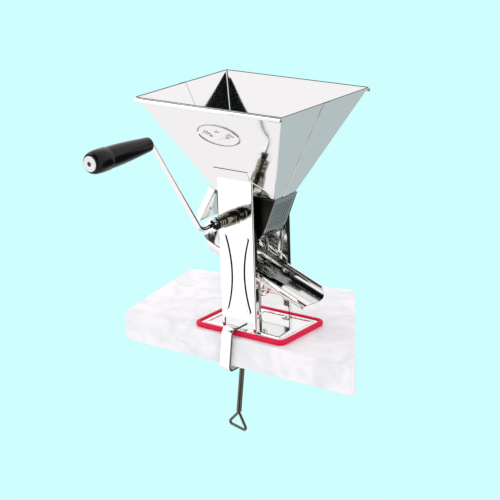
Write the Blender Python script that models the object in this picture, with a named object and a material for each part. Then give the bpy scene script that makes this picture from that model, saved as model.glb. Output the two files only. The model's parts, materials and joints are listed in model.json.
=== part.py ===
"""Hand-cranked tomato press with a clamp, as separate named parts.

Metres, +Z up, base centre at the origin. +X is the juice side, -Y the crank side.
"""
import math

import bmesh
import bpy
from mathutils import Matrix, Vector
from mathutils.geometry import tessellate_polygon

# clearances
GAP = 0.0003
RUN = 0.0001

# base
GASKET_LENGTH = 0.147
GASKET_WIDTH = 0.0985
GASKET_X = -0.002
GASKET_Y = 0.0025
GASKET_BEAD = 0.0065
GASKET_HEIGHT = 0.0072
GASKET_CORNER = 0.008
GASKET_FLOOR = 0.002
PLATE_TOP = 0.0055
PLATE_EDGE = 0.0042

# legs
BODY_X = -0.006
REAR_LEG_SHIFT = 0.0055
LEG_FACE = 0.039
LEG_WIDTH = 0.059
LEG_SHEET = 0.0012
LEG_FLANGE = 0.0075
LEG_LIP = 0.0016
LEG_TOP = 0.234
ARCH_WIDTH = 0.050
ARCH_HEIGHT = 0.0155
RIB_WIDTH = 0.0075
RIB_RISE = 0.0014
RIB_LOW = 0.031
RIB_HIGH = 0.142
RIB_WAIST = 0.0105
RIB_SPREAD = 0.019

# hopper
MOUTH_LENGTH = 0.240
MOUTH_WIDTH = 0.200
RIM_Z = 0.332
THROAT_LENGTH = 0.100
THROAT_WIDTH = 0.050
THROAT_Z = 0.196
HOPPER_SHEET = 0.0008
LAP = 0.006
RIM_ROLL_R = 0.0026
BADGE_LENGTH = 0.072
BADGE_HEIGHT = 0.037
BADGE_Z = 0.290

# press chamber
SHAFT_Z = 0.169
SIEVE_R = 0.0415
ROTOR_TIP_CLEARANCE = 0.001
ROTOR_END_CLEARANCE = 0.0015
ROTOR_R = SIEVE_R - ROTOR_TIP_CLEARANCE
ROTOR_LENGTH = THROAT_WIDTH - 2 * ROTOR_END_CLEARANCE
HUB_R = 0.010
BLADES = 4
BLADE_SHEET = 0.0016
SIEVE_SHEET = 0.0008
CHEEK_TRIM = 0.0035
CHEEK_SHEET = 0.001
HOOD_END = (-0.079, 0.147)
HOOD_FLANGE = 0.010
SLIDE_END = (-0.068, 0.128)

# juice trough
TROUGH_DEPTH = 0.028
TROUGH_LIP_DEPTH = 0.024
TROUGH_TIP_X = 0.092
TROUGH_LIP_BACK = 0.013
TROUGH_LIP_CORNER = 0.006
TROUGH_SHEET = 0.0008
TROUGH_BEAD = 0.0013
TROUGH_CLEARANCE = 0.0007
TROUGH_HALF = LEG_FACE - LEG_FLANGE - TROUGH_BEAD - TROUGH_CLEARANCE
TROUGH_LIP_X = 0.088
TROUGH_LIP_Z = 0.0645
TROUGH_END_X = -0.060
TROUGH_ROUND = 0.018
TROUGH_SLOPE = 0.39
SADDLE_WIDTH = 0.008
SADDLE_SHEET = 0.001

# shaft and crank
SHAFT_R = 0.004
BUSH_R = 0.007
BUSH_FLANGE_R = 0.012
BUSH_FLANGE = 0.0017
BUSH_LENGTH = 0.0022
FERRULE_R = 0.0108
FERRULE_LENGTH = 0.0247
RING_R = 0.0082
RING_LENGTH = 0.0137
NUT_FLATS = 0.0175
NUT_LENGTH = 0.015
ROD_R = 0.0035
ROD_BEND = 0.014
ARM_Y = -0.1145
ARM_LEAN = math.radians(27.66)
CRANK_RADIUS = 0.1317
CRANK_ANGLE = math.radians(7.95)
GRIP_LENGTH = 0.110
GRIP_SMALL_R = 0.0095
GRIP_LARGE_R = 0.0141
GRIP_KNOB_R = 0.0150
GRIP_CAP_R = 0.0097

# clamp
CLAMP_X = -0.009
CLAMP_TILT = math.radians(7.0)
CLAMP_BAR_WIDTH = 0.017
CLAMP_BAR_SHEET = 0.0035
CLAMP_BEND = 0.008
CLAMP_REACH = -0.0613
CLAMP_OPENING = 0.043
CLAMP_TOP_Z = 0.01245
CLAMP_TIP_Y = -0.027
CLAMP_ARM_END = -0.011
SCREW_Y = -0.020
SCREW_R = 0.0037
SCREW_LENGTH = 0.0825
PAD_R = 0.011
PAD_HEIGHT = 0.0042
BOSS_R = 0.0075
BOSS_HEIGHT = 0.007
LOOP_WIRE_R = 0.002
LOOP_HALF = 0.0205
LOOP_HEIGHT = 0.025
LOOP_TURN = math.radians(-6.0)

SHAFT = Vector((BODY_X, 0.0, SHAFT_Z))
SMOOTH_ANGLE = math.radians(32.0)


# ---------------------------------------------------------------- helpers

def clear_scene():
    for thing in list(bpy.data.objects):
        bpy.data.objects.remove(thing, do_unlink=True)


def material(name, colour, roughness, metallic):
    found = bpy.data.materials.get(name)
    if found:
        return found
    made = bpy.data.materials.new(name)
    made.use_nodes = True
    shader = made.node_tree.nodes["Principled BSDF"]
    shader.inputs["Base Color"].default_value = (*colour, 1.0)
    shader.inputs["Roughness"].default_value = roughness
    shader.inputs["Metallic"].default_value = metallic
    return made


def steel(name):
    return material(name + "_steel", (0.80, 0.81, 0.80), 0.12, 1.0)


def add_mesh(name, points, faces, finish, origin=(0.0, 0.0, 0.0), smooth=True):
    start = Vector(origin)
    mesh = bpy.data.meshes.new(name)
    mesh.from_pydata([Vector(p) - start for p in points], [], faces)
    work = bmesh.new()
    work.from_mesh(mesh)
    bmesh.ops.recalc_face_normals(work, faces=work.faces)
    work.to_mesh(mesh)
    work.free()
    made = bpy.data.objects.new(name, mesh)
    made.location = start
    bpy.context.collection.objects.link(made)
    mesh.materials.append(finish)
    if smooth:
        mesh.shade_smooth()
        mesh.set_sharp_from_angle(angle=SMOOTH_ANGLE)
    return made


def add_rings(name, rings, finish, closed=False, **options):
    """A solid skinned over rings of equal length, capped unless it closes on itself."""
    count = len(rings[0])
    points = [p for ring in rings for p in ring]
    faces = []
    pairs = [(i, i + 1) for i in range(len(rings) - 1)]
    if closed:
        pairs.append((len(rings) - 1, 0))
    else:
        faces.append(list(range(count)))
        faces.append([(len(rings) - 1) * count + k for k in range(count)])
    for low, high in pairs:
        for k in range(count):
            after = (k + 1) % count
            faces.append([low * count + k, low * count + after,
                          high * count + after, high * count + k])
    return add_mesh(name, points, faces, finish, **options)


def axis_frame(axis):
    along = Vector(axis).normalized()
    side = along.orthogonal().normalized()
    if abs(along.z) < 0.9:
        side = Vector((0.0, 0.0, 1.0)).cross(along).normalized()
    return along, side, along.cross(side)


def add_turned(name, start, axis, profile, finish, segments=24, bored=False, **options):
    """Turn (radius, distance) points about an axis; a bored profile closes on itself."""
    along, side, up = axis_frame(axis)
    rings = []
    for radius, distance in profile:
        middle = Vector(start) + along * distance
        ring = []
        for k in range(segments):
            angle = math.tau * k / segments
            ring.append(middle + (side * math.cos(angle) + up * math.sin(angle)) * radius)
        rings.append(ring)
    return add_rings(name, rings, finish, closed=bored, **options)


def add_plate(name, outline, holes, place, thickness, finish, **options):
    """A flat plate: outline and holes in 2-D, place(u, v, w) puts them in space."""
    loops = [outline] + holes
    flat = [[Vector((u, v, 0.0)) for u, v in loop] for loop in loops]
    triangles = tessellate_polygon(flat)
    count = sum(len(loop) for loop in loops)
    points = [place(u, v, 0.0) for loop in loops for u, v in loop]
    points += [place(u, v, thickness) for loop in loops for u, v in loop]
    faces = [list(t) for t in triangles]
    faces += [[k + count for k in reversed(t)] for t in triangles]
    first = 0
    for loop in loops:
        size = len(loop)
        for k in range(size):
            a = first + k
            b = first + (k + 1) % size
            faces.append([a, b, b + count, a + count])
        first += size
    return add_mesh(name, points, faces, finish, **options)


def add_sheet(name, rows, thickness, finish, skipped=(), offset=1.0):
    """A grid of points thickened to sheet metal; skipped cells are holes."""
    width = len(rows[0])
    points = [p for row in rows for p in row]
    faces = []
    for r in range(len(rows) - 1):
        for c in range(width - 1):
            if (r, c) not in skipped:
                a = r * width + c
                faces.append([a, a + 1, a + width + 1, a + width])
    made = add_mesh(name, points, faces, finish)
    thicken = made.modifiers.new("thickness", "SOLIDIFY")
    thicken.thickness = thickness
    thicken.offset = offset
    thicken.use_even_offset = True
    return made


def face_towards(made, direction):
    """Turn every face of an open sheet so that its first face looks along direction."""
    mesh = made.data
    if mesh.polygons[0].normal.dot(Vector(direction)) < 0.0:
        mesh.flip_normals()


def arc(middle, radius, first, last, steps):
    span = (last - first) / steps
    return [(middle[0] + radius * math.cos(first + span * k),
             middle[1] + radius * math.sin(first + span * k)) for k in range(steps + 1)]


def circle(middle, radius, segments=24):
    return arc(middle, radius, 0.0, math.tau, segments)[:-1]


def rounded_rectangle(length, width, corner, steps=4):
    x = length / 2.0 - corner
    y = width / 2.0 - corner
    quarter = math.pi / 2.0
    points = []
    for k, middle in enumerate(((x, y), (-x, y), (-x, -y), (x, -y))):
        points += arc(middle, corner, quarter * k, quarter * (k + 1), steps)
    return points


def filleted(corners, radius, steps=5):
    """A path through corners, each inner one rounded to the radius."""
    points = [Vector(corners[0])]
    for before, here, after in zip(corners, corners[1:], corners[2:]):
        here = Vector(here)
        back = (Vector(before) - here).normalized()
        ahead = (Vector(after) - here).normalized()
        half = back.angle(ahead) / 2.0
        reach = radius / math.tan(half)
        middle = here + (back + ahead).normalized() * (radius / math.sin(half))
        first = here + back * reach - middle
        last = here + ahead * reach - middle
        points += [middle + first.slerp(last, k / steps).normalized() * radius
                   for k in range(steps + 1)]
    points.append(Vector(corners[-1]))
    return points


def add_wire(name, path, radius, finish, segments=10, closed=False, **options):
    """A round wire along a path, its section carried without twist."""
    count = len(path)
    rings = []
    side = None
    for k, here in enumerate(path):
        before = path[k - 1] if (k or closed) else here
        after = path[(k + 1) % count] if (k < count - 1 or closed) else here
        along = (after - before).normalized()
        if side is None:
            side = along.orthogonal().normalized()
        side = (side - along * side.dot(along)).normalized()
        up = along.cross(side)
        ring = []
        for j in range(segments):
            angle = math.tau * j / segments
            ring.append(here + (side * math.cos(angle) + up * math.sin(angle)) * radius)
        rings.append(ring)
    return add_rings(name, rings, finish, closed=closed, **options)


def cut(target, outline, place, depth):
    """Cut a through opening of the given outline out of the target."""
    cutter = add_plate(target.name + "_cutter", outline, [], place, depth,
                       steel("cutter"), smooth=False)
    cutter.hide_render = True
    cutter.display_type = "WIRE"
    opening = target.modifiers.new("opening", "BOOLEAN")
    opening.operation = "DIFFERENCE"
    opening.solver = "EXACT"
    opening.object = cutter
    return cutter


# ---------------------------------------------------------------- base

def make_gasket():
    rubber = material("red_rubber", (0.62, 0.02, 0.08), 0.45, 0.0)
    half = GASKET_BEAD / 2.0
    section = [(half - 0.0015, 0.0), (half, 0.0015), (half, GASKET_HEIGHT - 0.0025),
               (half * 0.5, GASKET_HEIGHT), (-half * 0.5, GASKET_HEIGHT),
               (-half, GASKET_HEIGHT - 0.0025), (-half, GASKET_FLOOR)]
    rings = []
    for out, z in section:
        loop = rounded_rectangle(GASKET_LENGTH + 2 * out, GASKET_WIDTH + 2 * out,
                                 GASKET_CORNER + out)
        rings.append([(GASKET_X + x, GASKET_Y + y, z) for x, y in loop])
    add_rings("base_gasket", rings, rubber)


def make_base_plate():
    inset = GASKET_BEAD / 2.0 + GAP
    levels = [(inset, GASKET_FLOOR + GAP), (inset, PLATE_EDGE), (inset + 0.0025, PLATE_TOP)]
    rings = []
    for out, z in levels:
        loop = rounded_rectangle(GASKET_LENGTH - 2 * out, GASKET_WIDTH - 2 * out,
                                 GASKET_CORNER - inset)
        rings.append([(GASKET_X + x, GASKET_Y + y, z) for x, y in loop])
    add_rings("base_plate", rings, steel("base"))


# ---------------------------------------------------------------- legs

def wall_slope():
    return (MOUTH_WIDTH - THROAT_WIDTH) / 2.0 / (RIM_Z - THROAT_Z)


def end_slope():
    return (MOUTH_LENGTH - THROAT_LENGTH) / 2.0 / (RIM_Z - THROAT_Z)


def wall_normal():
    """Outward normal (y, z) of the front wall."""
    return Vector((-1.0, -wall_slope())).normalized()


def tab_line(z):
    """y of the tab's outer face, a lip and a gap off the front wall."""
    off = (LEG_LIP + GAP) * math.hypot(1.0, wall_slope())
    return -THROAT_WIDTH / 2.0 - off - wall_slope() * (z - THROAT_Z)


def tab_bend_z():
    return THROAT_Z + (LEG_FACE + tab_line(THROAT_Z)) / wall_slope()


def rib_offset(z):
    middle = (RIB_LOW + RIB_HIGH) / 2.0
    share = (z - middle) / (RIB_HIGH - middle)
    return RIB_WAIST + (RIB_SPREAD - RIB_WAIST) * share * share


def flange_depth(z):
    if z <= THROAT_Z - 0.031:
        return LEG_FLANGE
    if z <= THROAT_Z - 0.009:
        share = (THROAT_Z - 0.009 - z) / 0.022
        return LEG_LIP + 0.0004 + (LEG_FLANGE - LEG_LIP - 0.0004) * share
    return LEG_LIP


def leg_x(side):
    return BODY_X + (REAR_LEG_SHIFT if side > 0 else 0.0)


def leg_row(z, side):
    half = LEG_WIDTH / 2.0
    inside = RIB_LOW <= z <= RIB_HIGH
    spread = rib_offset(min(max(z, RIB_LOW), RIB_HIGH))
    rise = RIB_RISE if RIB_LOW < z < RIB_HIGH else 0.0
    face = -LEG_FACE if z <= tab_bend_z() else tab_line(z)
    normal = Vector((-1.0, 0.0)) if z <= tab_bend_z() else wall_normal()
    depth = flange_depth(z)
    columns = [(-half, -depth), (-half, 0.0)]
    for sign in (-1.0, 1.0):
        for share in (-0.5, -0.2, 0.2, 0.5):
            lift = rise if abs(share) < 0.3 and inside else 0.0
            columns.append((sign * spread + share * RIB_WIDTH, lift))
    columns += [(half, 0.0), (half, -depth)]
    row = []
    for x, lift in columns:
        y = face + normal[0] * lift
        row.append(Vector((leg_x(side) + x, side * -y, z + normal[1] * lift)))
    return row


def make_leg(name, side):
    low = PLATE_TOP + GAP
    bend = tab_bend_z()
    spans = 9
    ribs = [RIB_LOW + (RIB_HIGH - RIB_LOW) * k / spans for k in range(spans + 1)]
    ribs[1:1] = [RIB_LOW + 0.003]
    ribs[-1:-1] = [RIB_HIGH - 0.003]
    levels = [low, low + ARCH_HEIGHT + 0.003] + ribs
    levels += [THROAT_Z - 0.031, THROAT_Z - 0.009, bend, LEG_TOP]
    leg = add_sheet(name, [leg_row(z, side) for z in levels], LEG_SHEET, steel("leg"),
                    offset=-1.0)
    face_towards(leg, (-1.0, 0.0, 0.0))
    reach = LEG_FACE + 0.002
    arch = [(leg_x(side) - ARCH_WIDTH / 2.0, low - 0.004)]
    arch += arc((leg_x(side) - ARCH_WIDTH / 2.0 + 0.005, low + ARCH_HEIGHT - 0.005), 0.005,
                math.pi, math.pi / 2.0, 4)
    arch += arc((leg_x(side) + ARCH_WIDTH / 2.0 - 0.005, low + ARCH_HEIGHT - 0.005), 0.005,
                math.pi / 2.0, 0.0, 4)
    arch.append((leg_x(side) + ARCH_WIDTH / 2.0, low - 0.004))
    cut(leg, arch, lambda u, v, w: (u, side * (reach - w), v), 0.008)
    hole = circle((BODY_X, SHAFT_Z), BUSH_R + GAP)
    cut(leg, hole, lambda u, v, w: (u, side * (reach - w), v), 0.008)
    return leg


def make_feet():
    length = 0.010
    depth = 0.0085
    outer = LEG_FACE - LEG_SHEET - GAP
    for number, (end, side) in enumerate(((-1, -1), (1, -1), (-1, 1), (1, 1)), 1):
        x = leg_x(side) + end * (LEG_WIDTH / 2.0 - LEG_SHEET - GAP)
        y = side * outer
        z = PLATE_TOP + GAP
        outline = [(x, y), (x - end * length, y), (x - end * length, y - side * depth),
                   (x, y - side * depth)]
        add_plate(f"foot_tab_{number}", outline, [], lambda u, v, w, z=z: (u, v, z + w),
                  LEG_SHEET, steel("foot"), smooth=False)
        middle = (x - end * length * 0.55, y - side * depth * 0.5, z + LEG_SHEET + GAP)
        add_rivet(f"foot_rivet_{number}", middle, (0.0, 0.0, 1.0), 0.0024)


def add_rivet(name, seat, axis, radius):
    dome = [(radius, 0.0), (radius * 0.94, radius * 0.25), (radius * 0.7, radius * 0.5),
            (radius * 0.3, radius * 0.62)]
    add_turned(name, seat, axis, dome, steel("rivet"), segments=12)


# ---------------------------------------------------------------- hopper

def hopper_row(z, lapped):
    """Half of the hopper's outer outline at a height, from the left lap to the right one."""
    half_x = THROAT_LENGTH / 2.0 + end_slope() * (z - THROAT_Z)
    half_y = THROAT_WIDTH / 2.0 + wall_slope() * (z - THROAT_Z)
    corner = 0.003 + 0.003 * (z - THROAT_Z) / (RIM_Z - THROAT_Z)
    turn = arc((half_x - corner, -half_y + corner), corner, 0.0, -math.pi / 2.0, 3)
    right = [(half_x, LAP)]
    if lapped:
        over = HOPPER_SHEET + GAP
        right = [(half_x + over, LAP), (half_x + over, -LAP - 0.001), (half_x, -LAP - 0.003)]
    right += turn
    left = [(-x, y) for x, y in reversed(right)]
    return [Vector((x, y, z)) for x, y in right + left]


def make_hopper():
    for name, side, lapped in (("hopper_front_shell", 1, False), ("hopper_rear_shell", -1, True)):
        rows = []
        for z in (THROAT_Z, (THROAT_Z + RIM_Z) / 2.0, RIM_Z):
            rows.append([Vector((p.x, side * p.y, p.z)) for p in hopper_row(z, lapped)])
        shell = add_sheet(name, rows, HOPPER_SHEET, steel("hopper"), offset=-1.0)
        face_towards(shell, (1.0, 0.0, -0.3))


def make_rim_rolls():
    half = MOUTH_LENGTH / 2.0 - 0.001
    wall = 0.0006
    normal = wall_normal()
    for side, word in ((1, "front"), (-1, "rear")):
        off = RIM_ROLL_R + GAP
        y = -MOUTH_WIDTH / 2.0 + normal[0] * off + wall_slope() * RIM_ROLL_R
        z = RIM_Z + normal[1] * off - RIM_ROLL_R
        profile = [(RIM_ROLL_R, 0.0), (RIM_ROLL_R, 2 * half),
                   (RIM_ROLL_R - wall, 2 * half), (RIM_ROLL_R - wall, 0.0)]
        add_turned(f"{word}_rim_roll", (-half, side * y, z), (1.0, 0.0, 0.0), profile,
                   steel("hopper"), segments=14, bored=True)


def make_badge():
    normal = wall_normal()
    middle_y = -THROAT_WIDTH / 2.0 - wall_slope() * (BADGE_Z - THROAT_Z)
    up = Vector((normal[1], -normal[0]))
    rings = []
    for share, lift in ((1.0, 0.0), (1.0, 0.0003), (0.95, 0.0008), (0.86, 0.0008)):
        ring = []
        for k in range(32):
            angle = math.tau * k / 32
            x = BADGE_LENGTH / 2.0 * share * math.cos(angle)
            v = BADGE_HEIGHT / 2.0 * share * math.sin(angle)
            flat = Vector((middle_y, BADGE_Z)) + up * v + normal * (GAP + lift)
            ring.append((x, flat[0], flat[1]))
        rings.append(ring)
    add_rings("hopper_badge", rings, steel("badge"))


# ---------------------------------------------------------------- press chamber

def tangent_angle():
    """Angle at which the sieve's flat, coming from the throat's corner, meets its arc."""
    corner = Vector((THROAT_LENGTH / 2.0 - BODY_X, THROAT_Z - SHAFT_Z))
    return math.atan2(corner.y, corner.x) - math.acos(SIEVE_R / corner.length)


LIP_ANGLE = math.radians(-157.0)


def chamber_point(radius, angle):
    return (BODY_X + radius * math.cos(angle), SHAFT_Z + radius * math.sin(angle))


def make_sieve():
    meet = tangent_angle()
    start = (THROAT_LENGTH / 2.0, THROAT_Z - GAP - 0.0004)
    foot = chamber_point(SIEVE_R, meet)
    flat_steps = 8
    path = []
    for k in range(flat_steps):
        share = k / flat_steps
        path.append((start[0] + (foot[0] - start[0]) * share,
                     start[1] + (foot[1] - start[1]) * share))
    path += arc((BODY_X, SHAFT_Z), SIEVE_R, meet, LIP_ANGLE, 19)
    half = THROAT_WIDTH / 2.0 - GAP / 2.0
    columns = 15
    rows = []
    for x, z in path:
        rows.append([Vector((x, -half + 2 * half * c / columns, z)) for c in range(columns + 1)])
    holes = set()
    for r in range(1, 25, 2):
        for c in range(1, columns - 1, 2):
            holes.add((r, c))
    sieve = add_sheet("sieve_screen", rows, SIEVE_SHEET, steel("sieve"), holes, offset=1.0)
    face_towards(sieve, (1.0, 0.0, -0.4))


def make_cheeks():
    outer = SIEVE_R + SIEVE_SHEET + GAP
    top = THROAT_Z - 0.0006
    half = THROAT_LENGTH / 2.0
    meet = tangent_angle()
    away = Vector(chamber_point(outer, meet)) - Vector(chamber_point(SIEVE_R, meet))
    outline = [(-half + CHEEK_TRIM, top), (half + away.x, top)]
    outline += arc((BODY_X, SHAFT_Z), outer, meet, LIP_ANGLE, 14)
    hole = circle((BODY_X, SHAFT_Z), BUSH_R + GAP)
    inner = THROAT_WIDTH / 2.0 + GAP
    for side, word in ((-1, "front"), (1, "rear")):
        add_plate(f"{word}_cheek", outline, [hole],
                  lambda u, v, w, side=side: (u, side * (inner + w), v),
                  CHEEK_SHEET, steel("cheek"), smooth=False)


def make_hood():
    start = Vector((-THROAT_LENGTH / 2.0 - 0.0006, THROAT_Z - 0.001))
    end = Vector(HOOD_END)
    along = (end - start).normalized()
    out = Vector((along.y, -along.x))
    half = THROAT_WIDTH / 2.0
    rows = []
    for spot in (start, end):
        row = []
        for y, lift in ((-half, HOOD_FLANGE), (-half, 0.0), (half, 0.0), (half, HOOD_FLANGE)):
            flat = spot + out * lift
            row.append(Vector((flat.x, y, flat.y)))
        rows.append(row)
    hood = add_sheet("waste_hood", rows, HOPPER_SHEET, steel("hood"), offset=1.0)
    face_towards(hood, (0.0, -1.0, 0.0))
    hood.modifiers["thickness"].offset = -1.0


def make_slide():
    lip = Vector(chamber_point(SIEVE_R, LIP_ANGLE))
    end = Vector(SLIDE_END)
    along = (end - lip).normalized()
    start = lip + along * 0.0012
    up = Vector((along.y, -along.x))
    half = THROAT_WIDTH / 2.0 - GAP
    rows = []
    for spot in (start, end):
        row = []
        for y, lift in ((-half, 0.005), (-half, 0.0), (half, 0.0), (half, 0.005)):
            flat = spot + up * lift
            row.append(Vector((flat.x, y, flat.y)))
        rows.append(row)
    slide = add_sheet("waste_slide", rows, SIEVE_SHEET, steel("slide"), offset=-1.0)
    face_towards(slide, (0.0, -1.0, 0.0))


def make_rotor():
    half = ROTOR_LENGTH / 2.0
    bore = SHAFT_R + RUN
    profile = [(HUB_R, -half), (HUB_R, half), (bore, half), (bore, -half)]
    add_turned("rotor_hub", SHAFT, (0, 1, 0), profile, steel("rotor"), bored=True, origin=SHAFT)
    inner = HUB_R + GAP
    thick = BLADE_SHEET / 2.0
    for number in range(BLADES):
        angle = math.tau * number / BLADES + math.radians(20.0)
        turn = Matrix.Rotation(angle, 3, "Y")
        outline = [(inner, -thick), (ROTOR_R, -thick), (ROTOR_R, thick), (inner, thick)]
        add_plate(f"rotor_blade_{number + 1}", outline, [],
                  lambda u, v, w, turn=turn: SHAFT + turn @ Vector((u, w - half, v)),
                  2 * half, steel("rotor"), origin=SHAFT, smooth=False)


# ---------------------------------------------------------------- shaft and crank

def bush_end():
    return LEG_FACE + GAP + BUSH_LENGTH


def make_bushes():
    brass = material("bush_steel", (0.66, 0.65, 0.60), 0.25, 1.0)
    bore = SHAFT_R + RUN
    face = LEG_FACE + GAP
    inner = ROTOR_LENGTH / 2.0 + 0.0006
    profile = [(BUSH_R, inner), (BUSH_R, face), (BUSH_FLANGE_R, face),
               (BUSH_FLANGE_R, face + BUSH_FLANGE), (BUSH_R, face + BUSH_FLANGE),
               (BUSH_R, bush_end()), (bore, bush_end()), (bore, inner)]
    hole = circle((0.0, 0.0), BUSH_R + GAP)
    hexagon = circle((0.0, 0.0), 0.0115, 6)
    for side, word in ((-1, "front"), (1, "rear")):
        add_turned(f"{word}_bush", SHAFT, (0, side, 0), profile, brass, bored=True)
        first = LEG_FACE - LEG_SHEET - GAP
        add_plate(f"{word}_bush_nut", hexagon, [hole],
                  lambda u, v, w, side=side: SHAFT + Vector((u, side * (first - w), v)),
                  0.005, steel("nut"), smooth=False)


def ferrule_start():
    return bush_end() + GAP


def ring_start():
    return ferrule_start() + FERRULE_LENGTH + GAP


def nut_start():
    return ring_start() + RING_LENGTH + GAP


def make_shaft():
    rear = bush_end() + GAP
    washer = 0.0012
    front = nut_start() - 0.001
    length = front + rear + washer + 0.004
    add_turned("drive_shaft", SHAFT + Vector((0, -front, 0)), (0, 1, 0),
               [(SHAFT_R, 0.0), (SHAFT_R, length)], steel("shaft"), origin=SHAFT)
    bore = SHAFT_R + RUN
    for name, start, radius, size in (("shaft_washer", rear, 0.009, washer),
                                      ("retaining_ring", rear + washer + GAP, 0.0062, 0.0012)):
        profile = [(radius, start), (radius, start + size), (bore, start + size), (bore, start)]
        add_turned(name, SHAFT, (0, 1, 0), profile, steel("shaft"), segments=20, bored=True,
                   origin=SHAFT)


def make_crank_fittings():
    bore = SHAFT_R + RUN
    dark = material("ferrule_steel", (0.42, 0.42, 0.38), 0.3, 1.0)
    a = ferrule_start()
    b = a + FERRULE_LENGTH
    r = FERRULE_R
    profile = [(r - 0.002, a), (r, a + 0.0015), (r, b - 0.0015), (r - 0.002, b),
               (bore, b), (bore, a)]
    add_turned("crank_ferrule", SHAFT, (0, -1, 0), profile, dark, bored=True, origin=SHAFT)
    start = ring_start()
    ridge = RING_LENGTH / 4.0
    profile = []
    for k in range(4):
        low = start + ridge * k
        profile += [(RING_R - 0.0012, low), (RING_R, low + ridge * 0.3),
                    (RING_R, low + ridge * 0.7)]
    profile.append((RING_R - 0.0012, start + RING_LENGTH))
    profile += [(bore, start + RING_LENGTH), (bore, start)]
    add_turned("crank_lock_ring", SHAFT, (0, -1, 0), profile, dark, bored=True, origin=SHAFT)
    hexagon = circle((0.0, 0.0), NUT_FLATS / 2.0 / math.cos(math.pi / 6.0), 6)
    hole = circle((0.0, 0.0), ROD_R + RUN, 16)
    add_plate("crank_nut", hexagon, [hole],
              lambda u, v, w: SHAFT + Vector((u, -nut_start() - w, v)),
              NUT_LENGTH, steel("nut"), origin=SHAFT, smooth=False)


def grip_axis():
    x = SHAFT.x - CRANK_RADIUS * math.sin(CRANK_ANGLE)
    z = SHAFT.z + CRANK_RADIUS * math.cos(CRANK_ANGLE)
    return x, z


def arm_top_y():
    return ARM_Y - CRANK_RADIUS * math.tan(ARM_LEAN)


def grip_start():
    return arm_top_y() - 0.0045


def make_crank():
    x, z = grip_axis()
    corners = [(SHAFT.x, -nut_start() - 0.0005, SHAFT.z), (SHAFT.x, ARM_Y, SHAFT.z),
               (x, arm_top_y(), z), (x, grip_start() - GRIP_LENGTH + 0.004, z)]
    path = filleted(corners[:3], ROD_BEND)[:-1] + filleted(corners[1:], ROD_BEND * 0.35)[1:]
    add_wire("crank_rod", path, ROD_R, steel("rod"), origin=SHAFT)


def make_grip():
    plastic = material("black_plastic", (0.012, 0.012, 0.014), 0.18, 0.0)
    white = material("white_cap", (0.85, 0.85, 0.86), 0.3, 0.2)
    x, z = grip_axis()
    start = Vector((x, grip_start(), z))
    bore = ROD_R + RUN
    shoulder = GRIP_LENGTH * 0.73
    profile = [(GRIP_SMALL_R - 0.002, 0.0), (GRIP_SMALL_R, 0.002)]
    for k in range(1, 5):
        share = k / 4.0
        rise = math.sin(share * math.pi / 2.0)
        radius = GRIP_SMALL_R + (GRIP_LARGE_R - GRIP_SMALL_R) * rise
        profile.append((radius, 0.002 + (shoulder - 0.002) * share))
    rest = GRIP_LENGTH - shoulder
    profile += [(GRIP_KNOB_R, shoulder + 0.0015), (GRIP_KNOB_R, shoulder + rest * 0.55),
                (GRIP_KNOB_R * 0.95, shoulder + rest * 0.85),
                (GRIP_CAP_R + 0.002, GRIP_LENGTH - 0.0006), (GRIP_CAP_R + 0.0003, GRIP_LENGTH),
                (bore, GRIP_LENGTH), (bore, 0.0)]
    add_turned("crank_grip", start, (0, -1, 0), profile, plastic, bored=True, origin=start)
    face = start + Vector((0, -GRIP_LENGTH - GAP, 0))
    cap = [(GRIP_CAP_R, 0.0), (GRIP_CAP_R, 0.0008), (GRIP_CAP_R - 0.0012, 0.0018)]
    add_turned("grip_end_cap", face, (0, -1, 0), cap, white, origin=start)


# ---------------------------------------------------------------- juice trough

def trough_rim_z(x):
    return TROUGH_LIP_Z + TROUGH_SLOPE * (TROUGH_LIP_X - x)


def trough_depth(x):
    share = (x - TROUGH_END_X) / (TROUGH_LIP_X - TROUGH_END_X)
    return TROUGH_DEPTH - (TROUGH_DEPTH - TROUGH_LIP_DEPTH) * min(max(share, 0.0), 1.0)


def trough_arc(x, grow=0.0, first=0.0, last=math.pi, steps=10, shrink=1.0):
    """Half round of the trough's outer face across x, from its far rim to its near one."""
    half = (TROUGH_HALF + grow) * shrink
    depth = (trough_depth(x) + grow) * shrink
    points = []
    for k in range(steps + 1):
        angle = first + (last - first) * k / steps
        points.append(Vector((x, half * math.cos(angle),
                              trough_rim_z(x) - depth * math.sin(angle))))
    return points


def trough_lip(steps=10):
    """The cut end: square to the trough's slope below, its two corners rounded off."""
    points = []
    for k in range(steps + 1):
        angle = math.pi * k / steps
        x = (TROUGH_TIP_X - TROUGH_LIP_BACK * math.sin(angle) ** 4
             - TROUGH_LIP_CORNER * math.cos(angle) ** 24)
        points.append(trough_arc(x, first=angle, last=angle, steps=1)[0])
    return points


def make_trough():
    rows = []
    for k in range(4):
        angle = math.pi / 2.0 * (4 - k) / 5.0
        x = TROUGH_END_X - TROUGH_ROUND * math.sin(angle * 1.18)
        rows.append(trough_arc(x, shrink=math.cos(angle)))
    spans = 4
    straight = TROUGH_LIP_X - TROUGH_LIP_BACK - TROUGH_END_X
    for k in range(spans):
        rows.append(trough_arc(TROUGH_END_X + straight * k / spans))
    rows.append(trough_lip())
    edged = []
    for row in rows:
        far = row[0] + Vector((0, TROUGH_BEAD, 0))
        near = row[-1] + Vector((0, -TROUGH_BEAD, 0))
        edged.append([far] + row + [near])
    trough = add_sheet("juice_trough", edged, TROUGH_SHEET, steel("trough"), offset=-1.0)
    close_end(trough, len(edged[0]))
    aim_down(trough, (len(rows) - 2) * (len(edged[0]) - 1) + 6)


def close_end(made, width):
    """Fill the first row of a sheet, the trough's closed end."""
    work = bmesh.new()
    work.from_mesh(made.data)
    work.verts.ensure_lookup_table()
    work.faces.new([work.verts[k] for k in range(1, width - 1)])
    bmesh.ops.recalc_face_normals(work, faces=work.faces)
    work.to_mesh(made.data)
    work.free()


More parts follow.
